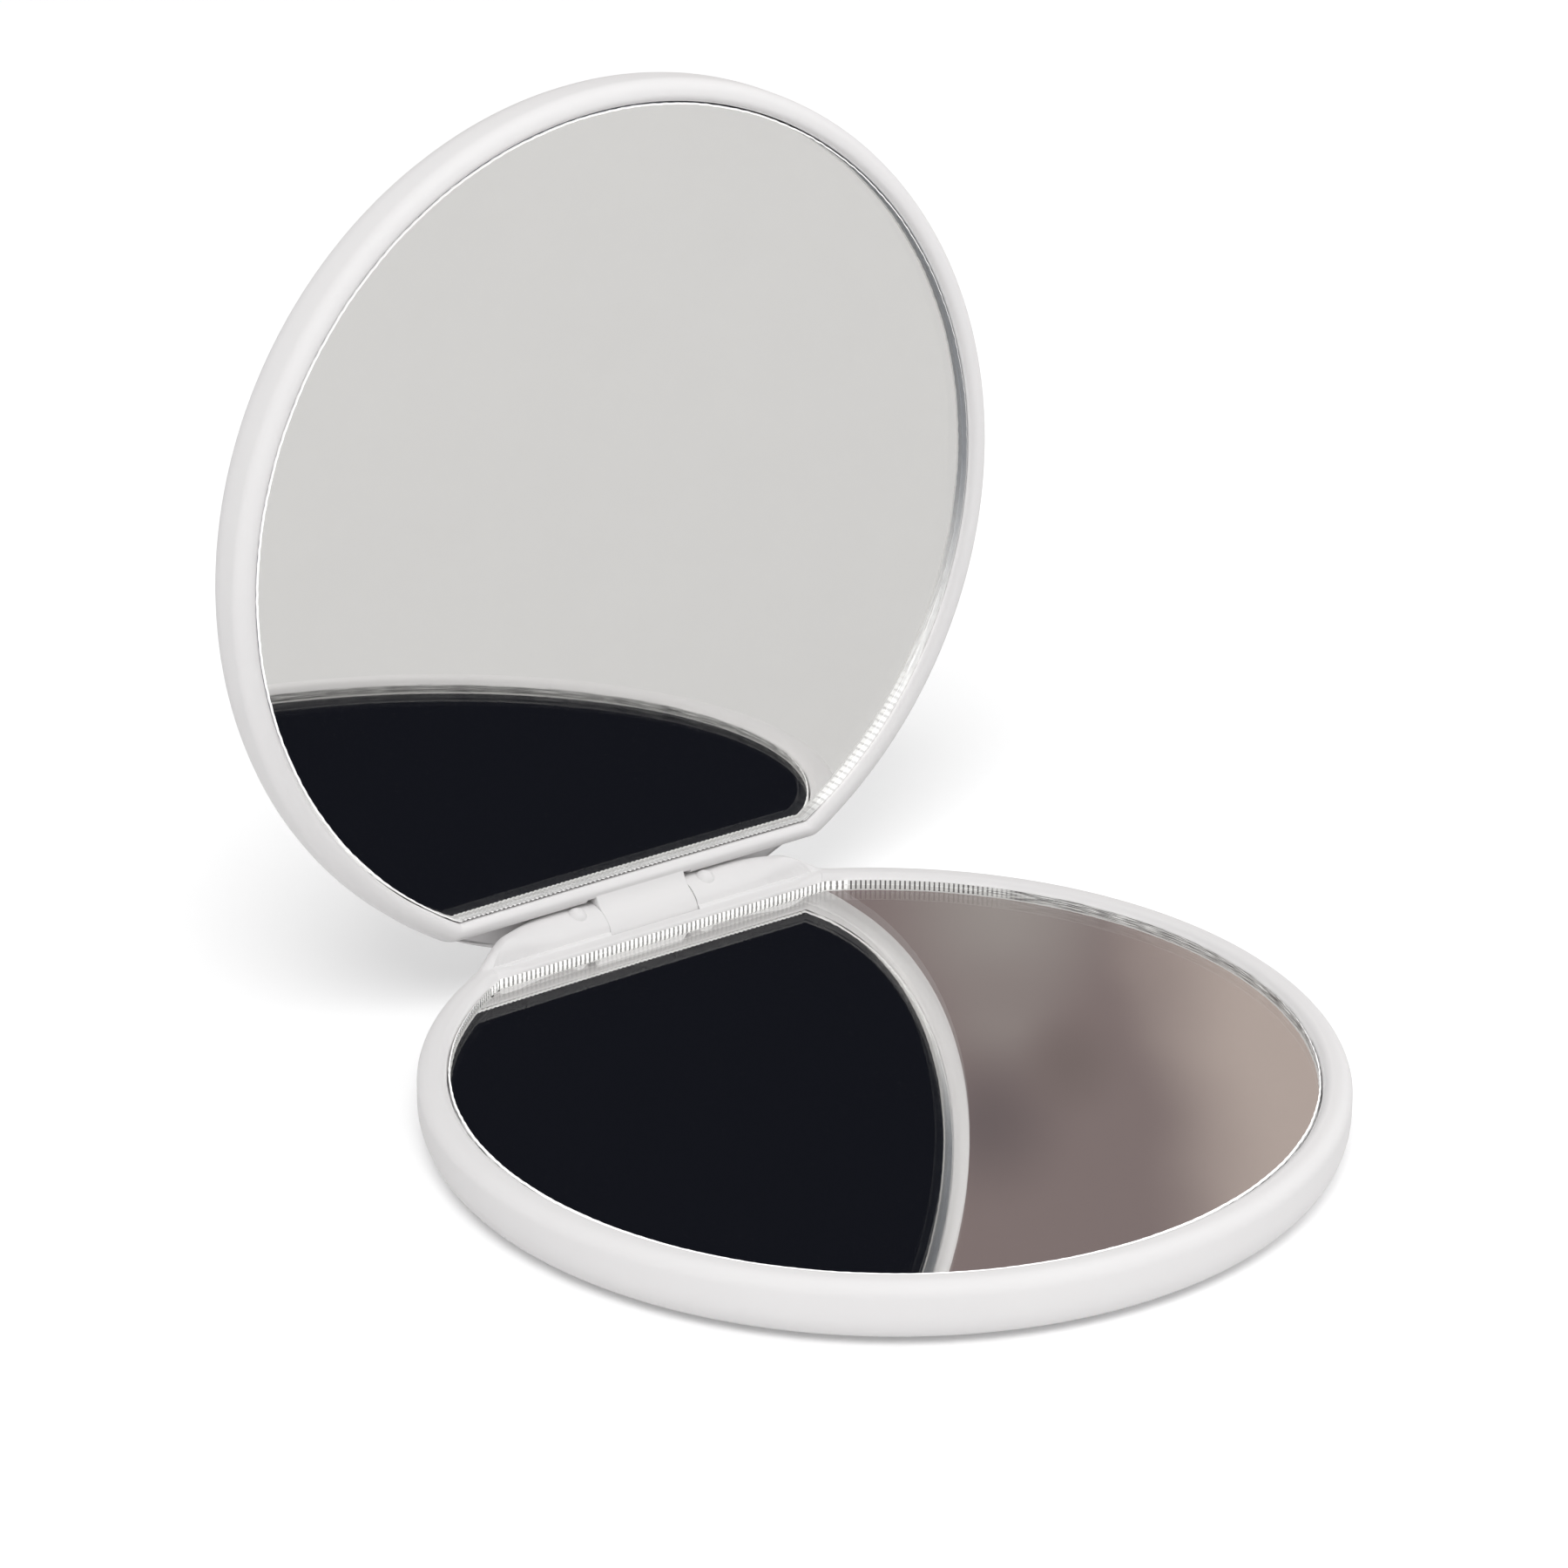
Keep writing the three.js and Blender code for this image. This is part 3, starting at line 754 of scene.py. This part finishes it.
def white_plastic():
    material, tree, shader = new_material("white_moulded_plastic")
    clouds = noise(tree, CLOUD_SIZE)
    grain = noise(tree, GRAIN_SIZE, detail=3)
    tree.links.new(mixed(tree, clouds, PLASTIC_WHITE, PLASTIC_SHADE), shader.inputs["Base Color"])
    tree.links.new(mapped(tree, grain, *GRAIN_ROUGHNESS), shader.inputs["Roughness"])
    add_bump(tree, shader, grain, GRAIN_BUMP, GRAIN_HEIGHT)
    shader.inputs["IOR"].default_value = PLASTIC_IOR
    return material


plastic = white_plastic()
finish_piece(base_case, "base", plastic)
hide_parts("base_shell")
finish_piece(lid_case, "lid", plastic)
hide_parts("lid_shell")

# %% [markdown]
# The broad faces of a mirror plate. The front is polished clear acrylic, so light goes in and out
# through it. The back is silvered: seen through the plate it is the mirror itself, with the faint
# smears that a wiped mirror keeps. A single shiny face would be simpler, but it would lose the depth
# of the plate and the view of its edge from inside.

# %% Mirror front and back
SILVER = (0.89, 0.885, 0.875, 1)
SILVER_DULL = (0.865, 0.86, 0.852, 1)
SMEAR_SIZE = 9 * MM
FRONT_SMEAR = 0.012
SILVER_SMEAR = 0.02
CLEAR = (0.99, 0.99, 0.985, 1)
ACRYLIC_IOR = 1.49


def clear_front():
    """Light that only passes through on its way from a lamp is let through straight."""
    material, tree, shader = new_material("clear_acrylic_front")
    shader.inputs["Base Color"].default_value = CLEAR
    shader.inputs["Transmission Weight"].default_value = 1
    shader.inputs["IOR"].default_value = ACRYLIC_IOR
    smears = noise(tree, SMEAR_SIZE, detail=4)
    tree.links.new(mapped(tree, smears, 0, FRONT_SMEAR), shader.inputs["Roughness"])
    path = tree.nodes.new("ShaderNodeLightPath")
    open_way = tree.nodes.new("ShaderNodeBsdfTransparent")
    either = tree.nodes.new("ShaderNodeMixShader")
    tree.links.new(path.outputs["Is Shadow Ray"], either.inputs[0])
    tree.links.new(shader.outputs[0], either.inputs[1])
    tree.links.new(open_way.outputs[0], either.inputs[2])
    tree.links.new(either.outputs[0], tree.nodes["Material Output"].inputs["Surface"])
    return material


def silvered_back():
    material, tree, shader = new_material("silvered_back")
    smears = noise(tree, SMEAR_SIZE, detail=4)
    tree.links.new(mixed(tree, smears, SILVER, SILVER_DULL), shader.inputs["Base Color"])
    shader.inputs["Metallic"].default_value = 1
    tree.links.new(mapped(tree, smears, 0, SILVER_SMEAR), shader.inputs["Roughness"])
    return material


clear, silver = clear_front(), silvered_back()
print("finishes:", clear.name, silver.name)

# %% [markdown]
# The sawn edge of a plate. Across the straight edge run the saw's flutes, with a painted highlight,
# white, in their hollows and painted shade on the lands between. They go on a little way round the
# corners and then turn into long streaks, partly the edge's uneven grain and partly painted light and
# shade. The edge could be plain frosted plastic, but in the photo its pattern is one of the sharpest
# details, so it is built from waves and drawn-out noise that follow the edge. A little painted glow
# stands for the light that the clear plate carries to its edge, and the narrow chamfer round the front
# has the same glow.

# %% Sawn edges
FLUTE_PAINTED_HIGHLIGHT = (0.95, 0.95, 0.94, 1)
FLUTE_PAINTED_SHADE = (0.42, 0.415, 0.41, 1)
FLUTE_GLEAM = 0.75
FLUTE_UNEVEN = 0.25
FLUTE_HOLLOW = (0.35, 0.8)
FLUTE_ROUGHNESS = 0.35
EDGE_LIGHT = (0.95, 0.95, 0.94, 1)
EDGE_GREY = (0.13, 0.127, 0.13, 1)
EDGE_PALE = (0.76, 0.755, 0.755, 1)
EDGE_BLUE = (0.44, 0.465, 0.51, 1)
BROKEN_GLEAM = 0.22
PALE_GLEAM = 0.5
CHAMFER_GLEAM = 0.4
FLOOR_LIT = (8.8, 10)
FLOOR_FADE = (36, 15)
SAW_GRAIN = 0.45 * MM
STREAK_LENGTH = 2.4 * MM
STREAK_WIDTH = 0.16 * MM
BLOCK_PITCH = 0.6
BLOCK_LEAST = 0.5
BAR_FREE = (28.5, 28.2)
FLUTES_FADE = (17, 27)
BLUE_FADE = (0, 16)
FINE_GRAIN = 0.15 * MM
FACET_RANGE = (0.36, 0.64)
EDGE_ROUGHNESS = (0.15, 0.5)
EDGE_BUMP = 0.5
EDGE_HEIGHT = 0.03 * MM
CHAMFER_ROUGHNESS = (0.3, 0.6)
HINGE_WAY = Vector((1, 0, 0))
UP = Vector((0, 0, 1))


def math_node(tree, operation, *values):
    node = tree.nodes.new("ShaderNodeMath")
    node.operation = operation
    for socket, value in zip(node.inputs, values):
        if hasattr(value, "links"):
            tree.links.new(value, socket)
        else:
            socket.default_value = value
    return node.outputs[0]


def along(tree, place, direction):
    node = tree.nodes.new("ShaderNodeVectorMath")
    node.operation = "DOT_PRODUCT"
    node.inputs[1].default_value = direction
    tree.links.new(place, node.inputs[0])
    return node.outputs["Value"]


def smooth_range(tree, value, low, high):
    node = tree.nodes.new("ShaderNodeMapRange")
    node.interpolation_type = "SMOOTHSTEP"
    node.inputs["From Min"].default_value = low
    node.inputs["From Max"].default_value = high
    tree.links.new(value, node.inputs["Value"])
    return node.outputs["Result"]


def faded(tree, value, ends):
    """0 at the first of two places given in millimetres, 1 at the second."""
    return smooth_range(tree, value, ends[0] * MM, ends[1] * MM)


def flutes(tree, run, pitch):
    """One arch for each flute along the run."""
    turn = math_node(tree, "MULTIPLY", run, pi / (pitch * MM))
    return math_node(tree, "ABSOLUTE", math_node(tree, "SINE", turn))


def fluted_edge():
    """Painted white highlight where a flute's hollow catches the light, painted shade on the sharp
    lands.
    """
    material, tree, shader = new_material("fluted_acrylic_edge")
    point = tree.nodes.new("ShaderNodeTexCoord").outputs["Object"]
    wave = flutes(tree, along(tree, point, HINGE_WAY), FLUTE_PITCH)
    uneven = mapped(tree, noise(tree, SAW_GRAIN), -FLUTE_UNEVEN, FLUTE_UNEVEN)
    lit = smooth_range(tree, math_node(tree, "ADD", wave, uneven), *FLUTE_HOLLOW)
    # Painted highlight on the flutes' hollows and painted shade on the lands, in the base colour; the
    # glow below is painted light too.
    tree.links.new(mixed(tree, lit, FLUTE_PAINTED_SHADE, FLUTE_PAINTED_HIGHLIGHT), shader.inputs["Base Color"])
    shader.inputs["Roughness"].default_value = FLUTE_ROUGHNESS
    shader.inputs["Emission Color"].default_value = FLUTE_PAINTED_HIGHLIGHT
    shine = math_node(tree, "MULTIPLY", lit, FLUTE_GLEAM)
    tree.links.new(shine, shader.inputs["Emission Strength"])
    return material


def plate_axis(tree, point, place, axis):
    """How far a point lies along one axis of the plate as it was made, before the lid was opened."""
    way = place.to_3x3() @ axis
    return math_node(tree, "SUBTRACT", along(tree, point, way), way.dot(place.translation))


def streaks(tree, arc, depth):
    """Noise drawn out along the edge."""
    point = tree.nodes.new("ShaderNodeCombineXYZ")
    tree.links.new(math_node(tree, "DIVIDE", arc, STREAK_LENGTH), point.inputs["X"])
    tree.links.new(math_node(tree, "DIVIDE", depth, STREAK_WIDTH), point.inputs["Y"])
    texture = tree.nodes.new("ShaderNodeTexNoise")
    texture.inputs["Scale"].default_value = 1
    tree.links.new(point.outputs[0], texture.inputs["Vector"])
    return texture.outputs["Fac"]


def sawn_edge(name, dark, gleam, place, pitch, in_lid):
    """Flutes near the hinge, long streaks further round, light and dark: painted highlight and shade on
    the flutes, and on the streaks partly the edge's uneven grain, partly painted light on its facets.
    A painted glow follows the light parts. In the standing lid the painted glow is strongest near the
    white floor and the colour turns to a bluish grey higher up."""
    material, tree, shader = new_material(name)
    point = tree.nodes.new("ShaderNodeTexCoord").outputs["Object"]
    x, y, depth = (plate_axis(tree, point, place, axis) for axis in Matrix.Identity(3))
    arc = math_node(tree, "MULTIPLY", math_node(tree, "ARCTAN2", y, x), CASE_RADIUS * MM)
    drawn = streaks(tree, arc, depth)
    near = faded(tree, y, FLUTES_FADE)
    if in_lid:
        near = math_node(tree, "MULTIPLY", near, faded(tree, y, BAR_FREE))
    step = math_node(tree, "SUBTRACT", flutes(tree, arc, pitch), drawn)
    blend = math_node(tree, "MULTIPLY_ADD", step, near, drawn)
    lit = smooth_range(tree, blend, *FACET_RANGE)
    grain = noise(tree, FINE_GRAIN, detail=3)
    colour = mixed(tree, lit, dark, EDGE_LIGHT)
    # Painted glow: the light parts of the edge glow a little, and in the lid most near the white floor.
    shine = mapped(tree, lit, gleam * BLOCK_LEAST if in_lid else 0, gleam)
    if in_lid:
        colour = mixed(tree, faded(tree, y, BLUE_FADE), EDGE_BLUE, colour)
        height = along(tree, point, UP)
        for ends in (FLOOR_LIT, FLOOR_FADE):
            shine = math_node(tree, "MULTIPLY", shine, faded(tree, height, ends))
    tree.links.new(colour, shader.inputs["Base Color"])
    tree.links.new(mapped(tree, grain, *EDGE_ROUGHNESS), shader.inputs["Roughness"])
    shader.inputs["Emission Color"].default_value = EDGE_LIGHT
    tree.links.new(shine, shader.inputs["Emission Strength"])
    add_bump(tree, shader, grain, EDGE_BUMP, EDGE_HEIGHT)
    return material


def chamfer_face():
    """The narrow chamfer round the front: frosted, the same pale grey all the way, and a painted glow.
    """
    material, tree, shader = new_material("frosted_acrylic_chamfer")
    grain = noise(tree, FINE_GRAIN, detail=3)
    tree.links.new(mixed(tree, grain, EDGE_PALE, EDGE_LIGHT), shader.inputs["Base Color"])
    tree.links.new(mapped(tree, grain, *CHAMFER_ROUGHNESS), shader.inputs["Roughness"])
    shader.inputs["Emission Color"].default_value = EDGE_LIGHT
    # Painted light: the glow stands for the light that the clear plate carries to its chamfer.
    shader.inputs["Emission Strength"].default_value = CHAMFER_GLEAM
    return material


fluted_face, frosted_face = fluted_edge(), chamfer_face()
base_edge = sawn_edge("broken_acrylic_edge", EDGE_GREY, BROKEN_GLEAM, Matrix(), FLUTE_PITCH, False)
lid_edge = sawn_edge("sawn_acrylic_edge", EDGE_PALE, PALE_GLEAM, LID_PLACE, BLOCK_PITCH, True)
print("finishes:", fluted_face.name, frosted_face.name, base_edge.name, lid_edge.name)

# %% [markdown]
# Each face of a plate gets its finish by the way it points: the broad faces point straight up or down,
# the chamfer slants and the rest is the edge. In the base, the part of the edge near the chord is the
# fluted one, and the chamfer above it stays clear.

# %% Dress the plates
PLATE_SMOOTH_ANGLE = radians(30)
FACING = 0.9
SLANTED = 0.4
CHORD_BAND = 1
FRONT, BACK, SAWN, CHAMFER, FLUTED = range(5)


def dress_plate(piece, body, node, face_up, edge_face, has_flutes):
    finish_piece(piece, body, clear, PLATE_SMOOTH_ANGLE)
    for material in (silver, edge_face, frosted_face, fluted_face):
        piece.data.materials.append(material)
    chord = (POCKET_CHORD - CHORD_BAND) * MM
    for face in piece.data.polygons:
        facing = face.normal.dot(face_up)
        on_chord = has_flutes and face.center.y > chord
        if abs(facing) > FACING:
            face.material_index = FRONT if facing > 0 else BACK
        elif facing > SLANTED:
            face.material_index = FRONT if on_chord else CHAMFER
        else:
            face.material_index = FLUTED if on_chord else SAWN
    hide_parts(node)


dress_plate(base_plate, "base", "base_mirror", UP, base_edge, True)
dress_plate(lid_plate, "lid", "lid_mirror", LID_PLACE.to_3x3() @ UP, lid_edge, False)

# %% [markdown]
# The hidden pieces keep their CAD shape: the foam tapes behind the mirrors and the steel pin. They
# only need a finish: an open-celled foam, and drawn wire with lines along its length.

# %% Foam tape and pin
FOAM = (0.62, 0.58, 0.49, 1)
FOAM_SHADE = (0.5, 0.47, 0.4, 1)
STEEL = (0.56, 0.57, 0.59, 1)
STEEL_SHADE = (0.42, 0.43, 0.45, 1)
CELL_SIZE = 0.3 * MM
CELL_BUMP = 0.6
CELL_HEIGHT = 0.05 * MM
FOAM_ROUGHNESS = 0.9
WIRE_LINE = 0.08 * MM
WIRE_STRETCH = (0.02, 1, 1)
WIRE_ROUGHNESS = (0.2, 0.38)


def foam_tape():
    material, tree, shader = new_material("foam_tape")
    cells = noise(tree, CELL_SIZE, detail=3)
    tree.links.new(mixed(tree, cells, FOAM, FOAM_SHADE), shader.inputs["Base Color"])
    shader.inputs["Roughness"].default_value = FOAM_ROUGHNESS
    add_bump(tree, shader, cells, CELL_BUMP, CELL_HEIGHT)
    return material


def drawn_wire():
    material, tree, shader = new_material("drawn_steel_wire")
    place = tree.nodes.new("ShaderNodeTexCoord")
    stretch = tree.nodes.new("ShaderNodeMapping")
    stretch.inputs["Scale"].default_value = WIRE_STRETCH
    lines = tree.nodes.new("ShaderNodeTexNoise")
    lines.inputs["Scale"].default_value = 1 / WIRE_LINE
    tree.links.new(place.outputs["Object"], stretch.inputs["Vector"])
    tree.links.new(stretch.outputs["Vector"], lines.inputs["Vector"])
    drawn = lines.outputs["Fac"]
    tree.links.new(mixed(tree, drawn, STEEL, STEEL_SHADE), shader.inputs["Base Color"])
    tree.links.new(mapped(tree, drawn, *WIRE_ROUGHNESS), shader.inputs["Roughness"])
    shader.inputs["Metallic"].default_value = 1
    return material


def dress_node(node, material):
    piece = frame["nodes"][node]
    piece.data.materials.clear()
    piece.data.materials.append(material)


foam = foam_tape()
dress_node("base_mirror_tape", foam)
dress_node("lid_mirror_tape", foam)
dress_node("hinge_pin", drawn_wire())
print("hidden pieces dressed")

# %% [markdown]
# The camera. Its place, aim and roll were found by fitting the outlines of both shells, so they are
# given as an angle round the object, a height angle, a distance to the point aimed at and a small roll.

# %% Camera
VIEW_AZIMUTH = radians(-36.183)
VIEW_ELEVATION = radians(24.153)
VIEW_DISTANCE = 449.595
VIEW_ROLL = radians(0.437)
AIM = Vector((-4.688, 6.595, 26.699))
LENS = 139.97
SENSOR = 36
CLIP = (0.01, 50)

back = Vector((
    sin(VIEW_AZIMUTH) * cos(VIEW_ELEVATION),
    -cos(VIEW_AZIMUTH) * cos(VIEW_ELEVATION),
    sin(VIEW_ELEVATION),
))
camera_data = bpy.data.cameras.new("photo_camera")
camera_data.lens = LENS
camera_data.sensor_width = SENSOR
camera_data.clip_start, camera_data.clip_end = CLIP
camera = bpy.data.objects.new("photo_camera", camera_data)
bpy.context.scene.collection.objects.link(camera)
level_view = (-back).to_track_quat("-Z", "Y")
camera.rotation_mode = "QUATERNION"
camera.rotation_quaternion = level_view @ Matrix.Rotation(VIEW_ROLL, 3, "Z").to_quaternion()
camera.location = (AIM + back * VIEW_DISTANCE) * MM
bpy.context.scene.camera = camera
print("camera at", [round(v, 4) for v in camera.location])

# %% [markdown]
# The stage: a wide pale floor and a white world. The camera sees the floor a little brighter than it
# is, so that it runs into the white of the world, and the mirrors see it a little greyer. The light on
# the object stays plain, and the floor keeps the object's shadow.

# %% Floor and world
FLOOR_WHITE = (0.93, 0.93, 0.93, 1)
FLOOR_SHADE = (0.92, 0.92, 0.925, 1)
FLOOR_MIRRORED = (0.7, 0.695, 0.69, 1)
FLOOR_GLEAM = 0.18
FLOOR_TONE = 0.4
FLOOR_ROUGHNESS = 0.9
FLOOR_SPECULAR = 0.1
FLOOR_SIZE = 6
WORLD_LIGHT = 0.55
WHITE = (1, 1, 1, 1)


def floor_material():
    material, tree, shader = new_material("pale_floor")
    tone = noise(tree, FLOOR_TONE)
    plain = mixed(tree, tone, FLOOR_WHITE, FLOOR_SHADE)
    shader.inputs["Roughness"].default_value = FLOOR_ROUGHNESS
    shader.inputs["Specular IOR Level"].default_value = FLOOR_SPECULAR
    path = tree.nodes.new("ShaderNodeLightPath")
    glossy, through = path.outputs["Is Glossy Ray"], path.outputs["Is Transmission Ray"]
    in_mirror = math_node(tree, "MAXIMUM", glossy, through)
    tree.links.new(mixed(tree, in_mirror, plain, FLOOR_MIRRORED), shader.inputs["Base Color"])
    shader.inputs["Emission Color"].default_value = WHITE
    gleam = math_node(tree, "MULTIPLY", path.outputs["Is Camera Ray"], FLOOR_GLEAM)
    tree.links.new(gleam, shader.inputs["Emission Strength"])
    return material


deselect_all()
bpy.ops.mesh.primitive_plane_add(size=FLOOR_SIZE, location=(0, 0, 0))
floor = bpy.context.object
floor.name = "floor"
floor.data.materials.append(floor_material())

world = bpy.data.worlds.new("studio")
bpy.context.scene.world = world
world.use_nodes = True
sky = world.node_tree
sky.nodes.clear()
path = sky.nodes.new("ShaderNodeLightPath")
seen = path.outputs["Is Camera Ray"]
for kind in ("Is Glossy Ray", "Is Transmission Ray"):
    seen = math_node(sky, "MAXIMUM", seen, path.outputs[kind])
lit = sky.nodes.new("ShaderNodeBackground")
lit.inputs["Color"].default_value = WHITE
lit.inputs["Strength"].default_value = WORLD_LIGHT
white = sky.nodes.new("ShaderNodeBackground")
white.inputs["Color"].default_value = WHITE
choose = sky.nodes.new("ShaderNodeMixShader")
out = sky.nodes.new("ShaderNodeOutputWorld")
sky.links.new(seen, choose.inputs[0])
sky.links.new(lit.outputs[0], choose.inputs[1])
sky.links.new(white.outputs[0], choose.inputs[2])
sky.links.new(choose.outputs[0], out.inputs["Surface"])
bpy.context.scene.view_settings.view_transform = "Standard"
print("stage set")

# %% [markdown]
# Two soft lamps, as a product photographer would hang them: a large key at the left in front and a
# weaker fill at the right. They are round area lamps, because a wide source gives the soft shadow. The
# mirrors don't show them.

# %% Lamps
LAMP_AIM = (0, 0, 0.02)
KEY_PLACE = (-0.5, -0.6, 1.1)
KEY_SIZE = 0.8
KEY_POWER = 9
FILL_PLACE = (0.9, -0.4, 0.7)
FILL_SIZE = 0.9
FILL_POWER = 3


def soft_lamp(name, place, size, power):
    data = bpy.data.lights.new(name, "AREA")
    data.shape = "DISK"
    data.size = size
    data.energy = power
    lamp = bpy.data.objects.new(name, data)
    lamp.location = place
    lamp.rotation_euler = (Vector(LAMP_AIM) - Vector(place)).to_track_quat("-Z", "Y").to_euler()
    lamp.visible_camera = lamp.visible_glossy = lamp.visible_transmission = False
    bpy.context.scene.collection.objects.link(lamp)


soft_lamp("key", KEY_PLACE, KEY_SIZE, KEY_POWER)
soft_lamp("fill", FILL_PLACE, FILL_SIZE, FILL_POWER)
print("lamps set")

# %% [markdown]
# A mirror shows what stands around it, so two plain cards are set up for the mirrors alone: a dark one
# in front on the right, which the two mirrors show between them, and a warm grey one behind on the
# right, which the base mirror shows. The camera doesn't see the cards, and they give no light and cast
# no shadow. A picture of a room would be another way, but plain shades keep the scene in one file.

# %% Cards for the mirrors
DARK_DISTANCE = 0.5
DARK_SIZE = (0.34, 0.34)
WARM_DISTANCE = 0.6
WARM_SIZE = (0.5, 0.4)
toward = -back
DARK_WAY = Vector((toward.x, -toward.y, -toward.z))
WARM_WAY = Vector((toward.x, toward.y, -toward.z))
WARM_ACROSS = WARM_WAY.cross(UP).normalized()
WARM_UP = WARM_ACROSS.cross(WARM_WAY).normalized()


def card(name, direction, distance, size, shade_nodes):
    deselect_all()
    bpy.ops.mesh.primitive_plane_add(size=1)
    piece = bpy.context.object
    piece.name = name
    place = direction.normalized() * distance
    turn = (-direction).to_track_quat("Z", "Y").to_matrix().to_4x4()
    piece.data.transform(Matrix.Translation(place) @ turn @ Matrix.Diagonal((*size, 1, 1)))
    material = bpy.data.materials.new(name)
    material.use_nodes = True
    tree = material.node_tree
    tree.nodes.clear()
    glow = tree.nodes.new("ShaderNodeEmission")
    target = tree.nodes.new("ShaderNodeOutputMaterial")
    tree.links.new(glow.outputs[0], target.inputs["Surface"])
    shade_nodes(tree, glow)
    piece.data.materials.append(material)
    piece.visible_camera = piece.visible_diffuse = piece.visible_shadow = False


DARK = (0.0095, 0.0105, 0.0155, 1)
WARM_DARK = (0.24, 0.192, 0.188, 1)
WARM_LIGHT = (0.5, 0.42, 0.385, 1)
WARM_PATCHES = (
    (30, 4, 26, (0.345, 0.31, 0.296, 1)),
    (30, 24, 15, (0.29, 0.25, 0.24, 1)),
    (28, 41, 18, (0.17, 0.138, 0.14, 1)),
    (42, 31, 12, (0.205, 0.165, 0.16, 1)),
)
WARM_STEP = (44, 72)
WARM_SLANT = -0.2
WARM_WANDER = 9
WARM_CLOUD = 24 * MM


def dark_shade(tree, glow):
    glow.inputs["Color"].default_value = DARK


def warm_shade(tree, glow):
    """Brown at the left, tan at the right, with a few soft patches, like a room out of focus."""
    place = tree.nodes.new("ShaderNodeTexCoord").outputs["Object"]
    across = along(tree, place, WARM_ACROSS)
    up = along(tree, place, WARM_UP)
    colour = WARM_DARK
    for patch_across, patch_up, radius, tint in WARM_PATCHES:
        off_across = math_node(tree, "SUBTRACT", across, patch_across * MM)
        off_up = math_node(tree, "SUBTRACT", up, patch_up * MM)
        square = math_node(tree, "MULTIPLY", off_up, off_up)
        far = math_node(tree, "SQRT", math_node(tree, "MULTIPLY_ADD", off_across, off_across, square))
        colour = mixed(tree, smooth_range(tree, far, radius * MM, 0), colour, tint)
    wander = mapped(tree, noise(tree, WARM_CLOUD, detail=1), -WARM_WANDER * MM, WARM_WANDER * MM)
    edge = math_node(tree, "MULTIPLY_ADD", up, WARM_SLANT, math_node(tree, "ADD", across, wander))
    low, high = WARM_STEP
    colour = mixed(tree, smooth_range(tree, edge, low * MM, high * MM), colour, WARM_LIGHT)
    tree.links.new(colour, glow.inputs["Color"])


card("dark_card", DARK_WAY, DARK_DISTANCE, DARK_SIZE, dark_shade)
card("warm_card", WARM_WAY, WARM_DISTANCE, WARM_SIZE, warm_shade)
print("cards set")
